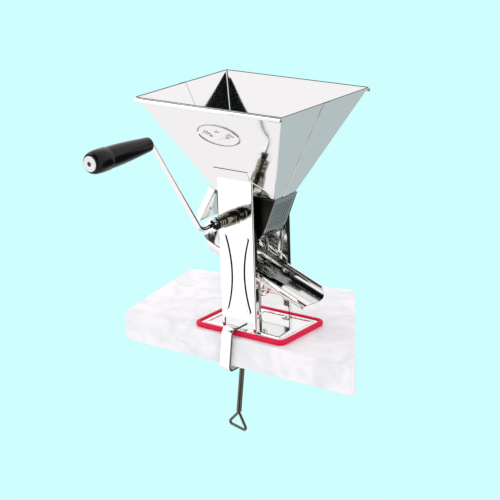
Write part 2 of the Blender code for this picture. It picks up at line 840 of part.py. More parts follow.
def aim_down(made, face):
    if made.data.polygons[face].normal.z > 0.0:
        made.data.flip_normals()


def make_saddles():
    for number, x in enumerate((-0.024, 0.004), 1):
        rows = []
        for step in (0.0, SADDLE_WIDTH):
            rows.append(trough_arc(x + step, GAP, math.radians(12.0), math.radians(168.0), 10))
        saddle = add_sheet(f"trough_saddle_{number}", rows, SADDLE_SHEET, steel("saddle"),
                           offset=1.0)
        aim_down(saddle, 5)


def make_clip():
    y = -TROUGH_HALF - TROUGH_BEAD - 0.0014
    top = trough_rim_z(0.031) - 0.001
    corners = [(0.0275, y, top), (0.0285, y, top - 0.016), (0.0345, y, top - 0.018),
               (0.0355, y, top - 0.006)]
    add_wire("trough_clip", filleted(corners, 0.0022, 4), 0.0009, steel("clip"), segments=8)


# ---------------------------------------------------------------- clamp

CLAMP_PIVOT = Vector((CLAMP_X, -0.045, CLAMP_TOP_Z))
CLAMP_TURN = Matrix.Rotation(CLAMP_TILT, 3, "Y")


def tilted(x, y, z):
    """A point given in the upright clamp, leaned over about its hook."""
    return CLAMP_PIVOT + CLAMP_TURN @ (Vector((x, y, z)) - CLAMP_PIVOT)


def clamp_arm_z():
    return -CLAMP_OPENING - PAD_HEIGHT - 0.0006 - CLAMP_BAR_SHEET / 2.0


def thick_path(path, thickness):
    left = []
    right = []
    for k, here in enumerate(path):
        before = path[max(k - 1, 0)]
        after = path[min(k + 1, len(path) - 1)]
        along = (after - before).normalized()
        out = Vector((along.z, -along.y)) * thickness / 2.0
        left.append((here.y + out.x, here.z + out.y))
        right.append((here.y - out.x, here.z - out.y))
    return left + right[::-1]


def make_clamp():
    corners = [(0, CLAMP_TIP_Y, CLAMP_TOP_Z), (0, CLAMP_REACH, CLAMP_TOP_Z),
               (0, CLAMP_REACH, clamp_arm_z()), (0, CLAMP_ARM_END, clamp_arm_z())]
    outline = thick_path(filleted(corners, CLAMP_BEND, 5), CLAMP_BAR_SHEET)
    first = CLAMP_X - CLAMP_BAR_WIDTH / 2.0
    bar = add_plate("clamp_bar", outline, [], lambda u, v, w: tilted(first + w, u, v),
                    CLAMP_BAR_WIDTH, steel("clamp"), origin=CLAMP_PIVOT)
    hole = circle((CLAMP_X, SCREW_Y), SCREW_R + RUN)
    cut(bar, hole, lambda u, v, w: tilted(u, v, clamp_arm_z() - 0.004 + w), 0.008)
    top = clamp_arm_z() - CLAMP_BAR_SHEET / 2.0 - GAP
    bore = SCREW_R + RUN
    profile = [(BOSS_R, 0.0), (BOSS_R, BOSS_HEIGHT - 0.001), (BOSS_R - 0.001, BOSS_HEIGHT),
               (bore, BOSS_HEIGHT), (bore, 0.0)]
    down = tilted(CLAMP_X, SCREW_Y, -1.0) - tilted(CLAMP_X, SCREW_Y, 0.0)
    add_turned("clamp_boss", tilted(CLAMP_X, SCREW_Y, top), down, profile, steel("clamp"),
               bored=True, origin=CLAMP_PIVOT)


def make_screw():
    down = tilted(CLAMP_X, SCREW_Y, -1.0) - tilted(CLAMP_X, SCREW_Y, 0.0)
    seat = tilted(CLAMP_X, SCREW_Y, -CLAMP_OPENING)
    pad = [(PAD_R - 0.0008, 0.0), (PAD_R, 0.0008), (PAD_R, 0.0022), (0.006, PAD_HEIGHT)]
    add_turned("clamp_pad", seat, down, pad, steel("clamp"), origin=seat)
    first = -CLAMP_OPENING - PAD_HEIGHT - GAP
    add_turned("clamp_screw", tilted(CLAMP_X, SCREW_Y, first), down,
               [(SCREW_R, 0.0), (SCREW_R, SCREW_LENGTH - 0.002),
                (SCREW_R - 0.001, SCREW_LENGTH)], steel("screw"), origin=seat)
    top = first - SCREW_LENGTH - GAP - LOOP_WIRE_R
    corners = [(0.0, top), (LOOP_HALF - LOOP_WIRE_R, top - LOOP_HEIGHT),
               (LOOP_WIRE_R - LOOP_HALF, top - LOOP_HEIGHT)]
    path = []
    for k in range(3):
        before = Vector((*corners[k - 1], 0.0))
        here = Vector((*corners[k], 0.0))
        after = Vector((*corners[(k + 1) % 3], 0.0))
        bend = filleted([(before + here) / 2.0, here, (here + after) / 2.0], 0.0035, 4)
        path += bend[1:-1]
    lowered = top - max(p.y for p in path)
    turned = []
    for p in path:
        x = CLAMP_X + p.x * math.cos(LOOP_TURN)
        y = SCREW_Y + p.x * math.sin(LOOP_TURN)
        turned.append(tilted(x, y, p.y + lowered))
    add_wire("screw_loop", turned, LOOP_WIRE_R, steel("screw"), closed=True, origin=seat)


# ---------------------------------------------------------------- build

def main():
    clear_scene()
    make_gasket()
    make_base_plate()
    make_leg("front_leg", -1)
    make_leg("rear_leg", 1)
    make_feet()
    make_hopper()
    make_rim_rolls()
    make_badge()
    make_sieve()
    make_cheeks()
    make_hood()
    make_slide()
    make_trough()
    make_saddles()
    make_clip()
    make_bushes()
    make_rotor()
    make_shaft()
    make_crank_fittings()
    make_crank()
    make_grip()
    make_clamp()
    make_screw()


main()
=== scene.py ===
import json
import math

import bmesh
import bpy
import numpy as np
from mathutils import Matrix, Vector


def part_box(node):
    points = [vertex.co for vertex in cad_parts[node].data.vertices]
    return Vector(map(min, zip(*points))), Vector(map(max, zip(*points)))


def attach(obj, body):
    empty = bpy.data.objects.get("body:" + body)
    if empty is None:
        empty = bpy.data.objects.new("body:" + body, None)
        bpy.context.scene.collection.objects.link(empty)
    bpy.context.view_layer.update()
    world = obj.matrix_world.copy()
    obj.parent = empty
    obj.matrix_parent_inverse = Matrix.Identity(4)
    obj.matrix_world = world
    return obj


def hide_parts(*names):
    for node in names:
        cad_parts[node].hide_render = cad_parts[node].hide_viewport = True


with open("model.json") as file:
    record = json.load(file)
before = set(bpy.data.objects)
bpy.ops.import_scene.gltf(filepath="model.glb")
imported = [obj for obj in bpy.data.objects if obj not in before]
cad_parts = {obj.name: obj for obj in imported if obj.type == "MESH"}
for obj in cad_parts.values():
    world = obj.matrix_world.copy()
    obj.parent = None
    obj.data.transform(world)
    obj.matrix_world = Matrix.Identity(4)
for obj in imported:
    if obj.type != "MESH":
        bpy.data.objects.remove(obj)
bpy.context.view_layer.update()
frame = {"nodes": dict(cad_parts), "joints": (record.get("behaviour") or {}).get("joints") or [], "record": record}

nodes = frame["nodes"]
joints = {joint["name"]: joint for joint in frame["joints"]}
shaftAt = np.array(joints["crank_turn"]["pos_m"], dtype=float)
gripAt = np.array(joints["grip_spin"]["pos_m"], dtype=float)
clampAt = np.array(joints["clamp_rock"]["pos_m"], dtype=float)
padAt = np.array(joints["pad_lift"]["pos_m"], dtype=float)
screwUp = np.array(joints["pad_lift"]["axis"], dtype=float)
mm = 0.001


def boxOf(node):
    low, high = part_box(node)
    return np.array(low, dtype=float), np.array(high, dtype=float)


# camera: stands where the press fills a square view, turned and raised in degrees
view = {"azimuth": 37.3, "elevation": 18.0, "roll": -1.85, "distance": 2.299,
        "aside": -0.0134, "above": 0.1055, "lens": 118.8, "sensor": 36.0}


def makeCamera(settings):
    azimuth = math.radians(settings["azimuth"])
    elevation = math.radians(settings["elevation"])
    roll = math.radians(settings["roll"])
    back = np.array([math.sin(azimuth) * math.cos(elevation),
                     -math.cos(azimuth) * math.cos(elevation), math.sin(elevation)])
    right = np.array([math.cos(azimuth), math.sin(azimuth), 0.0])
    up = np.cross(back, right)
    side = math.cos(roll) * right + math.sin(roll) * up
    over = math.cos(roll) * up - math.sin(roll) * right
    place = back * settings["distance"] + side * settings["aside"] + over * settings["above"]
    data = bpy.data.cameras.new("camera")
    data.lens = settings["lens"]
    data.sensor_width = settings["sensor"]
    data.clip_end = 20.0
    camera = bpy.data.objects.new("camera", data)
    bpy.context.collection.objects.link(camera)
    matrix = np.eye(4)
    matrix[:3, 0] = side
    matrix[:3, 1] = over
    matrix[:3, 2] = back
    matrix[:3, 3] = place
    camera.matrix_world = Matrix(matrix.tolist())
    bpy.context.scene.camera = camera


makeCamera(view)
print("camera placed")


# materials
def linearOf(hexText):  # sRGB hex to linear colour
    parts = np.array([int(hexText[k:k + 2], 16) for k in (0, 2, 4)]) / 255.0
    low = parts / 12.92
    high = ((parts + 0.055) / 1.055) ** 2.4
    return tuple(np.where(parts <= 0.04045, low, high)) + (1.0,)


def addNode(tree, kind, settings=None, links=None):
    node = tree.nodes.new(kind)
    for name, value in (settings or {}).items():
        setattr(node, name, value)
    for socket, value in (links or {}).items():
        if isinstance(value, bpy.types.NodeSocket):
            tree.links.new(value, node.inputs[socket])
        else:
            node.inputs[socket].default_value = value
    return node


def newMaterial(name, colour, metallic, roughness):
    material = bpy.data.materials.new(name)
    material.use_nodes = True
    tree = material.node_tree
    shader = tree.nodes["Principled BSDF"]
    shader.inputs["Base Color"].default_value = linearOf(colour)
    shader.inputs["Metallic"].default_value = metallic
    shader.inputs["Roughness"].default_value = roughness
    place = addNode(tree, "ShaderNodeTexCoord").outputs["Object"]
    return material, tree, shader, place


def rangeNode(tree, value, low, high):
    made = addNode(tree, "ShaderNodeMapRange", links={"Value": value, "To Min": low,
                                                      "To Max": high})
    return made.outputs["Result"]


def mirrorSteel():
    # stainless sheet polished on a wheel: a mirror with faint haze and a slow waviness
    material, tree, shader, place = newMaterial("mirrorPolishedStainless", "EEEFED", 1.0, 0.05)
    haze = addNode(tree, "ShaderNodeTexNoise", {"noise_dimensions": "3D"},
                   {"Vector": place, "Scale": 1 / (18 * mm), "Detail": 3.0})
    tree.links.new(rangeNode(tree, haze.outputs["Fac"], 0.05, 0.10), shader.inputs["Roughness"])
    wave = addNode(tree, "ShaderNodeTexNoise", links={"Vector": place, "Scale": 1 / (55 * mm),
                                                      "Detail": 0.0})
    bump = addNode(tree, "ShaderNodeBump", links={"Height": wave.outputs["Fac"],
                                                  "Strength": 0.12, "Distance": 2.5 * mm})
    tree.links.new(bump.outputs["Normal"], shader.inputs["Normal"])
    return material


def screenSteel():
    # pierced stainless: less polished than the walls, so its slots read grey
    material, tree, shader, place = newMaterial("piercedStainless", "A9AEAB", 1.0, 0.16)
    grain = addNode(tree, "ShaderNodeTexNoise", links={"Vector": place, "Scale": 1 / (6 * mm),
                                                       "Detail": 4.0})
    tree.links.new(rangeNode(tree, grain.outputs["Fac"], 0.12, 0.24), shader.inputs["Roughness"])
    return material


def millSteel():
    # rotor and shaft: plain mill finish with fine turning marks
    material, tree, shader, place = newMaterial("millFinishStainless", "C9CBC8", 1.0, 0.28)
    spread = addNode(tree, "ShaderNodeMapping", links={"Vector": place, "Scale": (1.0, 0.04, 1.0)})
    marks = addNode(tree, "ShaderNodeTexNoise", links={"Vector": spread.outputs["Vector"],
                                                       "Scale": 1 / (0.9 * mm), "Detail": 2.0})
    bump = addNode(tree, "ShaderNodeBump", links={"Height": marks.outputs["Fac"],
                                                  "Strength": 0.1, "Distance": 0.1 * mm})
    tree.links.new(bump.outputs["Normal"], shader.inputs["Normal"])
    tree.links.new(rangeNode(tree, marks.outputs["Fac"], 0.22, 0.36), shader.inputs["Roughness"])
    return material


def platedSteel():
    # crank and clamp: bright nickel plate over drawn steel, slightly warm, faintly hazed
    material, tree, shader, place = newMaterial("nickelPlatedSteel", "F2F3F1", 1.0, 0.09)
    haze = addNode(tree, "ShaderNodeTexNoise", links={"Vector": place, "Scale": 1 / (4 * mm),
                                                      "Detail": 3.0})
    tree.links.new(rangeNode(tree, haze.outputs["Fac"], 0.07, 0.13), shader.inputs["Roughness"])
    return material


def turnedSteel():
    # ferrule and lock ring: turned, darker, with lathe lines around the shaft
    material, tree, shader, place = newMaterial("turnedDarkSteel", "8E8C7E", 1.0, 0.16)
    lines = addNode(tree, "ShaderNodeTexWave", {"wave_type": "BANDS", "bands_direction": "Y"},
                    {"Vector": place, "Scale": 1 / (9 * mm), "Distortion": 0.4})
    bump = addNode(tree, "ShaderNodeBump", links={"Height": lines.outputs["Fac"],
                                                  "Strength": 0.05, "Distance": 0.05 * mm})
    tree.links.new(bump.outputs["Normal"], shader.inputs["Normal"])
    return material


def redRubber():
    # moulded rubber foot: crimson, satin, with a fine skin grain
    material, tree, shader, place = newMaterial("mouldedRedRubber", "EC0640", 0.0, 0.55)
    shader.inputs["Specular IOR Level"].default_value = 0.25
    tint = addNode(tree, "ShaderNodeTexNoise", links={"Vector": place, "Scale": 1 / (25 * mm),
                                                      "Detail": 2.0})
    mix = addNode(tree, "ShaderNodeMix", {"data_type": "RGBA"},
                  {0: tint.outputs["Fac"], 6: linearOf("E2033A"), 7: linearOf("F20A4C")})
    tree.links.new(mix.outputs[2], shader.inputs["Base Color"])
    grain = addNode(tree, "ShaderNodeTexNoise", links={"Vector": place, "Scale": 1 / (0.8 * mm),
                                                       "Detail": 2.0})
    bump = addNode(tree, "ShaderNodeBump", links={"Height": grain.outputs["Fac"],
                                                  "Strength": 0.15, "Distance": 0.1 * mm})
    tree.links.new(bump.outputs["Normal"], shader.inputs["Normal"])
    return material


def blackPlastic():
    # moulded ABS grip: glossy black with faint handling haze
    material, tree, shader, place = newMaterial("glossyBlackAbs", "0C0D10", 0.0, 0.16)
    haze = addNode(tree, "ShaderNodeTexNoise", links={"Vector": place, "Scale": 1 / (14 * mm),
                                                      "Detail": 4.0})
    tree.links.new(rangeNode(tree, haze.outputs["Fac"], 0.10, 0.26), shader.inputs["Roughness"])
    shader.inputs["Specular IOR Level"].default_value = 0.22
    return material


def paleCap():
    # press-in end disc: pale moulded plastic
    material, tree, shader, place = newMaterial("paleMouldedDisc", "E9EAEC", 0.0, 0.30)
    haze = addNode(tree, "ShaderNodeTexNoise", links={"Vector": place, "Scale": 1 / (5 * mm),
                                                      "Detail": 3.0})
    tree.links.new(rangeNode(tree, haze.outputs["Fac"], 0.24, 0.38), shader.inputs["Roughness"])
    return material


def cutEdgeAndShade():
    # sheared edge of the sheet: unpolished, dull and darker than its faces
    # the same finish also stands for painted shade: the band under the rim roll and the steep flanks of the badge
    material, tree, shader, place = newMaterial("shearedSteelEdge", "5A5652", 1.0, 0.45)
    drag = addNode(tree, "ShaderNodeTexNoise", links={"Vector": place, "Scale": 1 / (1.5 * mm)})
    tree.links.new(rangeNode(tree, drag.outputs["Fac"], 0.35, 0.55), shader.inputs["Roughness"])
    return material


def threadSteel():
    # clamp screw and its loop: rolled thread with oil in it, darker than the plated bar
    material, tree, shader, place = newMaterial("oiledThreadSteel", "63625A", 1.0, 0.18)
    roughPatches = addNode(tree, "ShaderNodeTexNoise", links={"Vector": place, "Scale": 1 / (5 * mm),
                                                      "Detail": 3.0})
    tree.links.new(rangeNode(tree, roughPatches.outputs["Fac"], 0.12, 0.26), shader.inputs["Roughness"])
    return material


def paintedShadeSteel():
    # cheeks of the press chamber: unpolished sheet, its near-black colour painted shade for the dark inside of the
    # chamber
    material, tree, shader, place = newMaterial("oilDarkSheet", "23231E", 1.0, 0.30)
    roughPatches = addNode(tree, "ShaderNodeTexNoise", links={"Vector": place, "Scale": 1 / (12 * mm),
                                                      "Detail": 4.0})
    tree.links.new(rangeNode(tree, roughPatches.outputs["Fac"], 0.22, 0.42), shader.inputs["Roughness"])
    return material


def darkPlug():
    material, tree, shader, place = newMaterial("darkRecess", "15161A", 0.0, 0.35)
    haze = addNode(tree, "ShaderNodeTexNoise", links={"Vector": place, "Scale": 1 / (2 * mm)})
    tree.links.new(rangeNode(tree, haze.outputs["Fac"], 0.30, 0.45), shader.inputs["Roughness"])
    return material


finishes = {"mirror": mirrorSteel(), "screen": screenSteel(), "mill": millSteel(),
            "plated": platedSteel(), "turned": turnedSteel(), "rubber": redRubber(),
            "grip": blackPlastic(), "cap": paleCap(), "recess": darkPlug(),
            "edge": cutEdgeAndShade(), "raw": paintedShadeSteel(), "thread": threadSteel()}
print("materials ready")


# surfaces
def gridFaces(rows, columns, wrapRows=False, wrapColumns=False, first=0):
    # quads of a grid numbered row by row, closing on itself where asked
    r = np.arange(rows if wrapRows else rows - 1)
    c = np.arange(columns if wrapColumns else columns - 1)
    r, c = np.meshgrid(r, c, indexing="ij")
    nextR = (r + 1) % rows
    nextC = (c + 1) % columns
    corners = [r * columns + c, nextR * columns + c, nextR * columns + nextC, r * columns + nextC]
    return (first + np.stack(corners, -1)).reshape(-1, 4)


def addPiece(name, points, faces, finish, body, slot, replaced=(), sharp=38.0, marks=None):
    mesh = bpy.data.meshes.new(name)
    mesh.from_pydata(np.asarray(points).reshape(-1, 3).tolist(), [], faces)
    if marks is not None:
        mesh.polygons.foreach_set("material_index", marks)
    work = bmesh.new()
    work.from_mesh(mesh)
    bmesh.ops.remove_doubles(work, verts=work.verts, dist=0.002 * mm)
    bmesh.ops.recalc_face_normals(work, faces=work.faces)
    work.to_mesh(mesh)
    work.free()
    mesh.materials.append(finishes[finish])
    # marked faces take the dull edge finish: cut edges, and painted shade where the marks stand for it
    if marks is not None:
        mesh.materials.append(finishes["edge"])
    mesh.shade_smooth()
    mesh.set_sharp_from_angle(angle=math.radians(sharp))
    piece = bpy.data.objects.new(name, mesh)
    bpy.context.collection.objects.link(piece)
    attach(piece, body)
    if replaced:
        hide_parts(*replaced)
    return piece


def unit(vectors):
    return vectors / np.maximum(np.linalg.norm(vectors, axis=-1, keepdims=True), 1e-12)


def rings(name, grid, finish, body, slot, replaced=(), closed=False, **options):
    # rings of points skinned in order, both ends capped or the last joined to the first
    count, size = grid.shape[:2]
    faces = gridFaces(count, size, closed, True).tolist()
    if not closed:
        faces.append(list(range(size)))
        faces.append(list(range((count - 1) * size, count * size)))
    return addPiece(name, grid, faces, finish, body, slot, replaced, **options)


def sheetNormals(grid):
    along = np.gradient(grid, axis=0)
    across = np.gradient(grid, axis=1)
    return unit(np.cross(along, across))


def sheet(name, outer, thickness, away, finish, body, slot, replaced=(), level=False,
          bright=False, lip=False, hem=False, **options):
    # outer face as a grid, its inner face one thickness behind it, edges slightly rounded;
    # cut edges are dull unless bright; a lip keeps the outermost columns dull too, and the band
    # flag paints the last row of the grid, just under the rim roll, dull and dark as painted shade
    normals = sheetNormals(outer)
    if np.sum(normals.mean(axis=(0, 1)) * away) < 0:
        normals = -normals
    if level:  # step inwards at constant height, still one thickness through the sheet
        normals = normals * np.array([1.0, 1.0, 0.0])
        normals = normals / np.sum(normals ** 2, axis=-1, keepdims=True)
    inner = outer - normals * thickness
    middle = (outer + inner) / 2.0
    rows, columns = outer.shape[:2]
    first = middle[:, :1] + unit(middle[:, :1] - middle[:, 1:2]) * thickness * 0.35
    last = middle[:, -1:] + unit(middle[:, -1:] - middle[:, -2:-1]) * thickness * 0.35
    loop = np.concatenate([outer, last, inner[:, ::-1], first], axis=1)
    size = loop.shape[1]
    faces = gridFaces(rows, size, False, True).tolist()
    marks = np.zeros((rows - 1, size), dtype=int)
    marks[:, [columns - 1, columns, size - 2, size - 1]] = 0 if bright else 1
    if lip:
        marks[:, [0, columns - 2, columns + 1, size - 3]] = 1
    # painted shade: the last row, under the rim roll, takes the dark edge finish
    if hem:
        marks[-1] = 1
    for row in (0, rows - 1):
        start = row * size
        for k in range(columns - 1):
            faces.append([start + k, start + k + 1, start + size - 3 - k, start + size - 2 - k])
        faces.append([start, start + size - 2, start + size - 1])
        faces.append([start + columns - 1, start + columns, start + columns + 1])
    marks = np.concatenate([marks.ravel(), np.ones(len(faces) - marks.size, dtype=int)])
    return addPiece(name, loop, faces, finish, body, slot, replaced, marks=marks, **options)


def axisFrame(axis):
    along = unit(np.asarray(axis, dtype=float))
    helper = np.array([0.0, 0.0, 1.0]) if abs(along[2]) < 0.9 else np.array([1.0, 0.0, 0.0])
    side = unit(np.cross(helper, along))
    return along, side, np.cross(along, side)


def turned(name, profile, start, axis, finish, body, slot, replaced=(), segments=64,
           bored=False, shape=None, **options):
    # a profile of (radius, distance) carried round an axis; shape(angle) may bend the radius
    profile = np.asarray(profile, dtype=float)
    along, side, up = axisFrame(axis)
    angle = np.linspace(0.0, 2.0 * math.pi, segments, endpoint=False)
    radius = np.repeat(profile[:, :1], segments, axis=1)
    if shape is not None:
        radius = np.minimum(radius, shape(angle)[None, :])
    spoke = np.cos(angle)[None, :, None] * side + np.sin(angle)[None, :, None] * up
    grid = np.asarray(start) + profile[:, 1][:, None, None] * along + radius[..., None] * spoke
    return rings(name, grid, finish, body, slot, replaced, closed=bored, **options)


def rounded(corners, radius, steps=8):
    # a path through corners with each inner corner turned by an arc
    corners = np.asarray(corners, dtype=float)
    radii = np.broadcast_to(radius, len(corners) - 2)
    path = [corners[:1]]
    for k in range(1, len(corners) - 1):
        back = unit(corners[k - 1] - corners[k])
        ahead = unit(corners[k + 1] - corners[k])
        half = math.acos(float(np.clip(back @ ahead, -1.0, 1.0))) / 2.0
        middle = corners[k] + unit(back + ahead) * radii[k - 1] / math.sin(half)
        x = -unit(back + ahead)
        y = unit(ahead - back)
        swing = np.linspace(half - math.pi / 2.0, math.pi / 2.0 - half, steps + 1)[:, None]
        path.append(middle + radii[k - 1] * (np.cos(swing) * x + np.sin(swing) * y))
    path.append(corners[-1:])
    return np.concatenate(path)


def swept(name, path, section, binormal, finish, body, slot, replaced=(), closed=False,
          **options):
    # a section (across, out) carried along a path that lies in one plane
    path = np.asarray(path, dtype=float)
    binormal = unit(np.asarray(binormal, dtype=float))
    if closed:
        tangent = unit(np.roll(path, -1, axis=0) - np.roll(path, 1, axis=0))
    else:
        tangent = unit(np.gradient(path, axis=0))
    out = unit(np.cross(tangent, binormal))
    grid = (path[:, None] + section[None, :, :1] * binormal
            + section[None, :, 1:] * out[:, None])
    return rings(name, grid, finish, body, slot, replaced, closed=closed, **options)


def circleSection(radius, segments=24):
    angle = np.linspace(0.0, 2.0 * math.pi, segments, endpoint=False)
    return np.stack([np.cos(angle), np.sin(angle)], -1) * radius


def softRectangle(width, height, corner, steps=4):
    quarter = np.linspace(0.0, math.pi / 2.0, steps + 1)
    parts = []
    for k, (sx, sy) in enumerate(((1, 1), (-1, 1), (-1, -1), (1, -1))):
        middle = np.array([sx * (width / 2 - corner), sy * (height / 2 - corner)])
        angle = quarter + k * math.pi / 2.0
        parts.append(middle + corner * np.stack([np.cos(angle), np.sin(angle)], -1))
    return np.concatenate(parts)


def smoothStep(low, high, value):
    share = np.clip((value - low) / (high - low), 0.0, 1.0)
    return share * share * (3.0 - 2.0 * share)


# hopper: two bent shells lapped in the middle of the end walls
hopper = {"throatX": 50 * mm, "throatY": 25 * mm, "sheet": 0.8 * mm, "lap": 6 * mm,
          "gap": 0.3 * mm, "bend": 2.2 * mm, "wave": 0.07 * mm, "hem": 0.8 * mm, "rows": 60}
shellLow, shellHigh = boxOf("hopper_front_shell")
mouthX = shellHigh[0]
mouthY = -shellLow[1]
rimZ = shellHigh[2]
throatZ = shellLow[2]
slopeX = (mouthX - hopper["throatX"]) / (rimZ - throatZ)
slopeY = (mouthY - hopper["throatY"]) / (rimZ - throatZ)
wallOut = unit(np.array([0.0, -1.0, -slopeY]))
wallUp = unit(np.array([0.0, -slopeY, 1.0]))


def hopperShell(name, side, lapped, node):
    # at each height a rounded half rectangle, growing in a straight line from throat to mouth
    # the last row of the shell, one band high just under the rim roll, is kept for painted shade
    z = np.append(np.linspace(throatZ, rimZ - hopper["hem"], hopper["rows"] - 1), rimZ)[:, None]
    halfX = hopper["throatX"] + slopeX * (z - throatZ)
    halfY = hopper["throatY"] + slopeY * (z - throatZ)
    bend = hopper["bend"] + 0.0 * z
    lap = hopper["lap"]
    if lapped:
        over = hopper["sheet"] + hopper["gap"]
        seamY = np.array([[lap, 0.0, -lap - 0.8 * mm, -lap - 1.6 * mm, -lap - 2.4 * mm,
                           -lap - 3.2 * mm]])
        seamX = halfX + over * np.array([[1.0, 1.0, 1.0, 0.8, 0.2, 0.0]])
        seamY = seamY + 0.0 * z
    else:
        seamY = np.array([[lap, lap - 0.7 * mm, 0.0, -lap]]) + 0.0 * z
        seamX = halfX + 0.0 * seamY
    share = np.linspace(0.0, 1.0, 22)[None, 1:-1]
    startY = seamY[:, -1:]
    wallY = startY + (bend - halfY - startY) * share
    wallX = halfX + 0.0 * wallY
    turn = np.linspace(0.0, -math.pi / 2.0, 9)[None]
    cornerX = halfX - bend + bend * np.cos(turn)
    cornerY = -halfY + bend + bend * np.sin(turn)
    rightX = np.concatenate([seamX, wallX, cornerX], axis=1)
    rightY = np.concatenate([seamY, wallY, cornerY], axis=1)
    share = np.linspace(1.0, -1.0, 50)[None, 1:-1]
    frontX = (halfX - bend) * share
    frontY = -halfY + 0.0 * frontX
    x = np.concatenate([rightX, frontX, -rightX[:, ::-1]], axis=1)
    y = np.concatenate([rightY, frontY, rightY[:, ::-1]], axis=1)
    # rolled sheet is never flat: a slow bulge that dies out at the rim and the throat
    calm = np.sin(np.pi * (z - throatZ) / (rimZ - throatZ)) ** 0.5
    dent = hopper["wave"] * calm * (np.sin(x / (23 * mm) + 9 * z / (60 * mm))
                                    + 0.6 * np.sin(y / (17 * mm) - z / (31 * mm) + 1.3))
    grid = np.stack([x + dent * 0.3 * np.sign(x), y + dent, z + 0.0 * x], -1)
    grid[..., 1] *= side
    away = np.array([0.0, -side, -0.3])
    sheet(name, grid, hopper["sheet"], away, "mirror", "frame", "polished_sheet", (node,),
          level=True, bright=lapped, lip=not lapped, hem=True)


hopperShell("hopperFrontShell", 1, False, "hopper_front_shell")
hopperShell("hopperRearShell", -1, True, "hopper_rear_shell")


def rimRoll(word, side):
    # sheet rolled into a tube outside the rim, its free edge turned in underneath
    low, high = boxOf(word + "_rim_roll")
    middle = (low + high) / 2.0
    radius = (high[2] - low[2]) / 2.0
    x = np.linspace(low[0], high[0], 3)[:, None]
    angle = np.radians(np.linspace(-62.0, 228.0, 46))[None]
    grid = np.stack([x + 0.0 * angle, middle[1] + side * radius * np.cos(angle) + 0.0 * x,
                     middle[2] + radius * np.sin(angle) + 0.0 * x], -1)
    sheet(word + "RimRoll", grid, 0.6 * mm, np.array([0.0, 0.0, 1.0]), "mirror", "frame",
          "polished_sheet", (word + "_rim_roll",))


rimRoll("front", -1)
rimRoll("rear", 1)


# rise of the relief, the slope past which its flanks are painted shade, and the grid size
badge = {"rise": 1.5 * mm, "steep": 1.0, "rings": 84, "spokes": 260}


def strokeHeight(x, y, path, width):
    # height of a rounded stroke: full on the path, falling to nothing at half its width
    nearest = np.full(x.shape, 1.0)
    for (ax, ay), (bx, by) in zip(path[:-1], path[1:]):
        dx, dy = bx - ax, by - ay
        share = np.clip(((x - ax) * dx + (y - ay) * dy) / (dx * dx + dy * dy), 0.0, 1.0)
        nearest = np.minimum(nearest, np.hypot(x - ax - share * dx, y - ay - share * dy))
    return np.clip(1.0 - (2.0 * nearest / width) ** 2, 0.0, 1.0) ** 0.5


def leafHeight(x, y, at, turn, length, width):
    # a pointed leaf with a sunk midrib
    u = (x - at[0]) * math.cos(turn) + (y - at[1]) * math.sin(turn)
    v = (y - at[1]) * math.cos(turn) - (x - at[0]) * math.sin(turn)
    share = np.clip(u / length, 0.0, 1.0)
    half = width * np.sin(np.pi * share) ** 0.8 / 2.0 + 1e-6
    body = np.clip(1.0 - (v / half) ** 2, 0.0, 1.0) ** 0.5 * (half > 0.1 * mm)
    return body * (1.0 - 0.45 * np.exp(-(v / (0.35 * mm)) ** 2))


def makeBadge():
    # oval disc on the front wall with a raised rim, a tomato and two leafy sprigs
    low, high = boxOf("hopper_badge")
    halfX = (high[0] - low[0]) / 2.0
    halfV = (high[2] - low[2]) / 2.0 / wallUp[2]
    radius = np.linspace(0.02, 1.0, badge["rings"])[:, None]
    angle = np.linspace(0.0, 2.0 * math.pi, badge["spokes"], endpoint=False)[None]
    x = halfX * radius * np.cos(angle)
    v = halfV * radius * np.sin(angle)
    height = 0.18 + 0.0 * x
    inset = (1.0 - radius) * min(halfX, halfV)
    height = np.maximum(height, np.exp(-((inset - 1.3 * mm) / (0.5 * mm)) ** 2))
    fruit = np.clip(1.0 - (x / (7.2 * mm)) ** 2 - ((v + 1.0 * mm) / (6.2 * mm)) ** 2, 0.0, 1.0)
    lobes = 1.0 - 0.28 * np.abs(np.sin(x / (2.3 * mm))) ** 6
    height = np.maximum(height, 0.25 + 0.75 * fruit ** 0.5 * lobes * (fruit > 0))
    for turn in (0.35, 1.57, 2.79):
        height = np.maximum(height, leafHeight(x, v, (0.0, 4.2 * mm), turn, 5.0 * mm, 2.4 * mm))
    for side in (-1, 1):
        share = np.linspace(0.0, 1.0, 9)
        stem = np.stack([side * (10.5 + 15.0 * share), -3.2 + 6.0 * np.sin(share * 2.4)], -1) * mm
        height = np.maximum(height, 0.9 * strokeHeight(x, v, stem.tolist(), 1.1 * mm))
        for k in (1, 3, 5):
            for lean in (-1, 1):
                turn = (0.0 if side > 0 else math.pi) + side * lean * 0.95 + side * 0.25
                height = np.maximum(height, leafHeight(x, v, stem[k], turn, 4.8 * mm, 2.3 * mm))
    height = height * smoothStep(0.0, 0.5 * mm, inset + 0.05 * mm)
    middle = np.array([0.0, 0.0, (low[2] + high[2]) / 2.0])
    middle[1] = -(hopper["throatY"] + slopeY * (middle[2] - throatZ))
    base = middle + x[..., None] * np.array([1.0, 0.0, 0.0]) + v[..., None] * wallUp
    top = base + wallOut * (0.12 * mm + badge["rise"] * height)[..., None]
    skirt = (base + wallOut * 0.1 * mm)[-1:]
    grid = np.concatenate([top, skirt], axis=0)
    # painted shade: the steep flanks of the relief take the dull dark edge finish, drawn as dark outlines
    radial = np.gradient(height, axis=0) / np.maximum(np.hypot(np.gradient(x, axis=0),
                                                               np.gradient(v, axis=0)), 1e-6)
    around = np.gradient(height, axis=1) / np.maximum(np.hypot(np.gradient(x, axis=1),
                                                               np.gradient(v, axis=1)), 1e-6)
    steep = np.hypot(radial, around) * badge["rise"] > badge["steep"]
    marks = np.append(steep.astype(int).ravel(), [0, 0])
    rings("hopperBadge", grid, "mirror", "frame", "polished_sheet", ("hopper_badge",), sharp=70,
          marks=marks)


makeBadge()
print("hopper made")


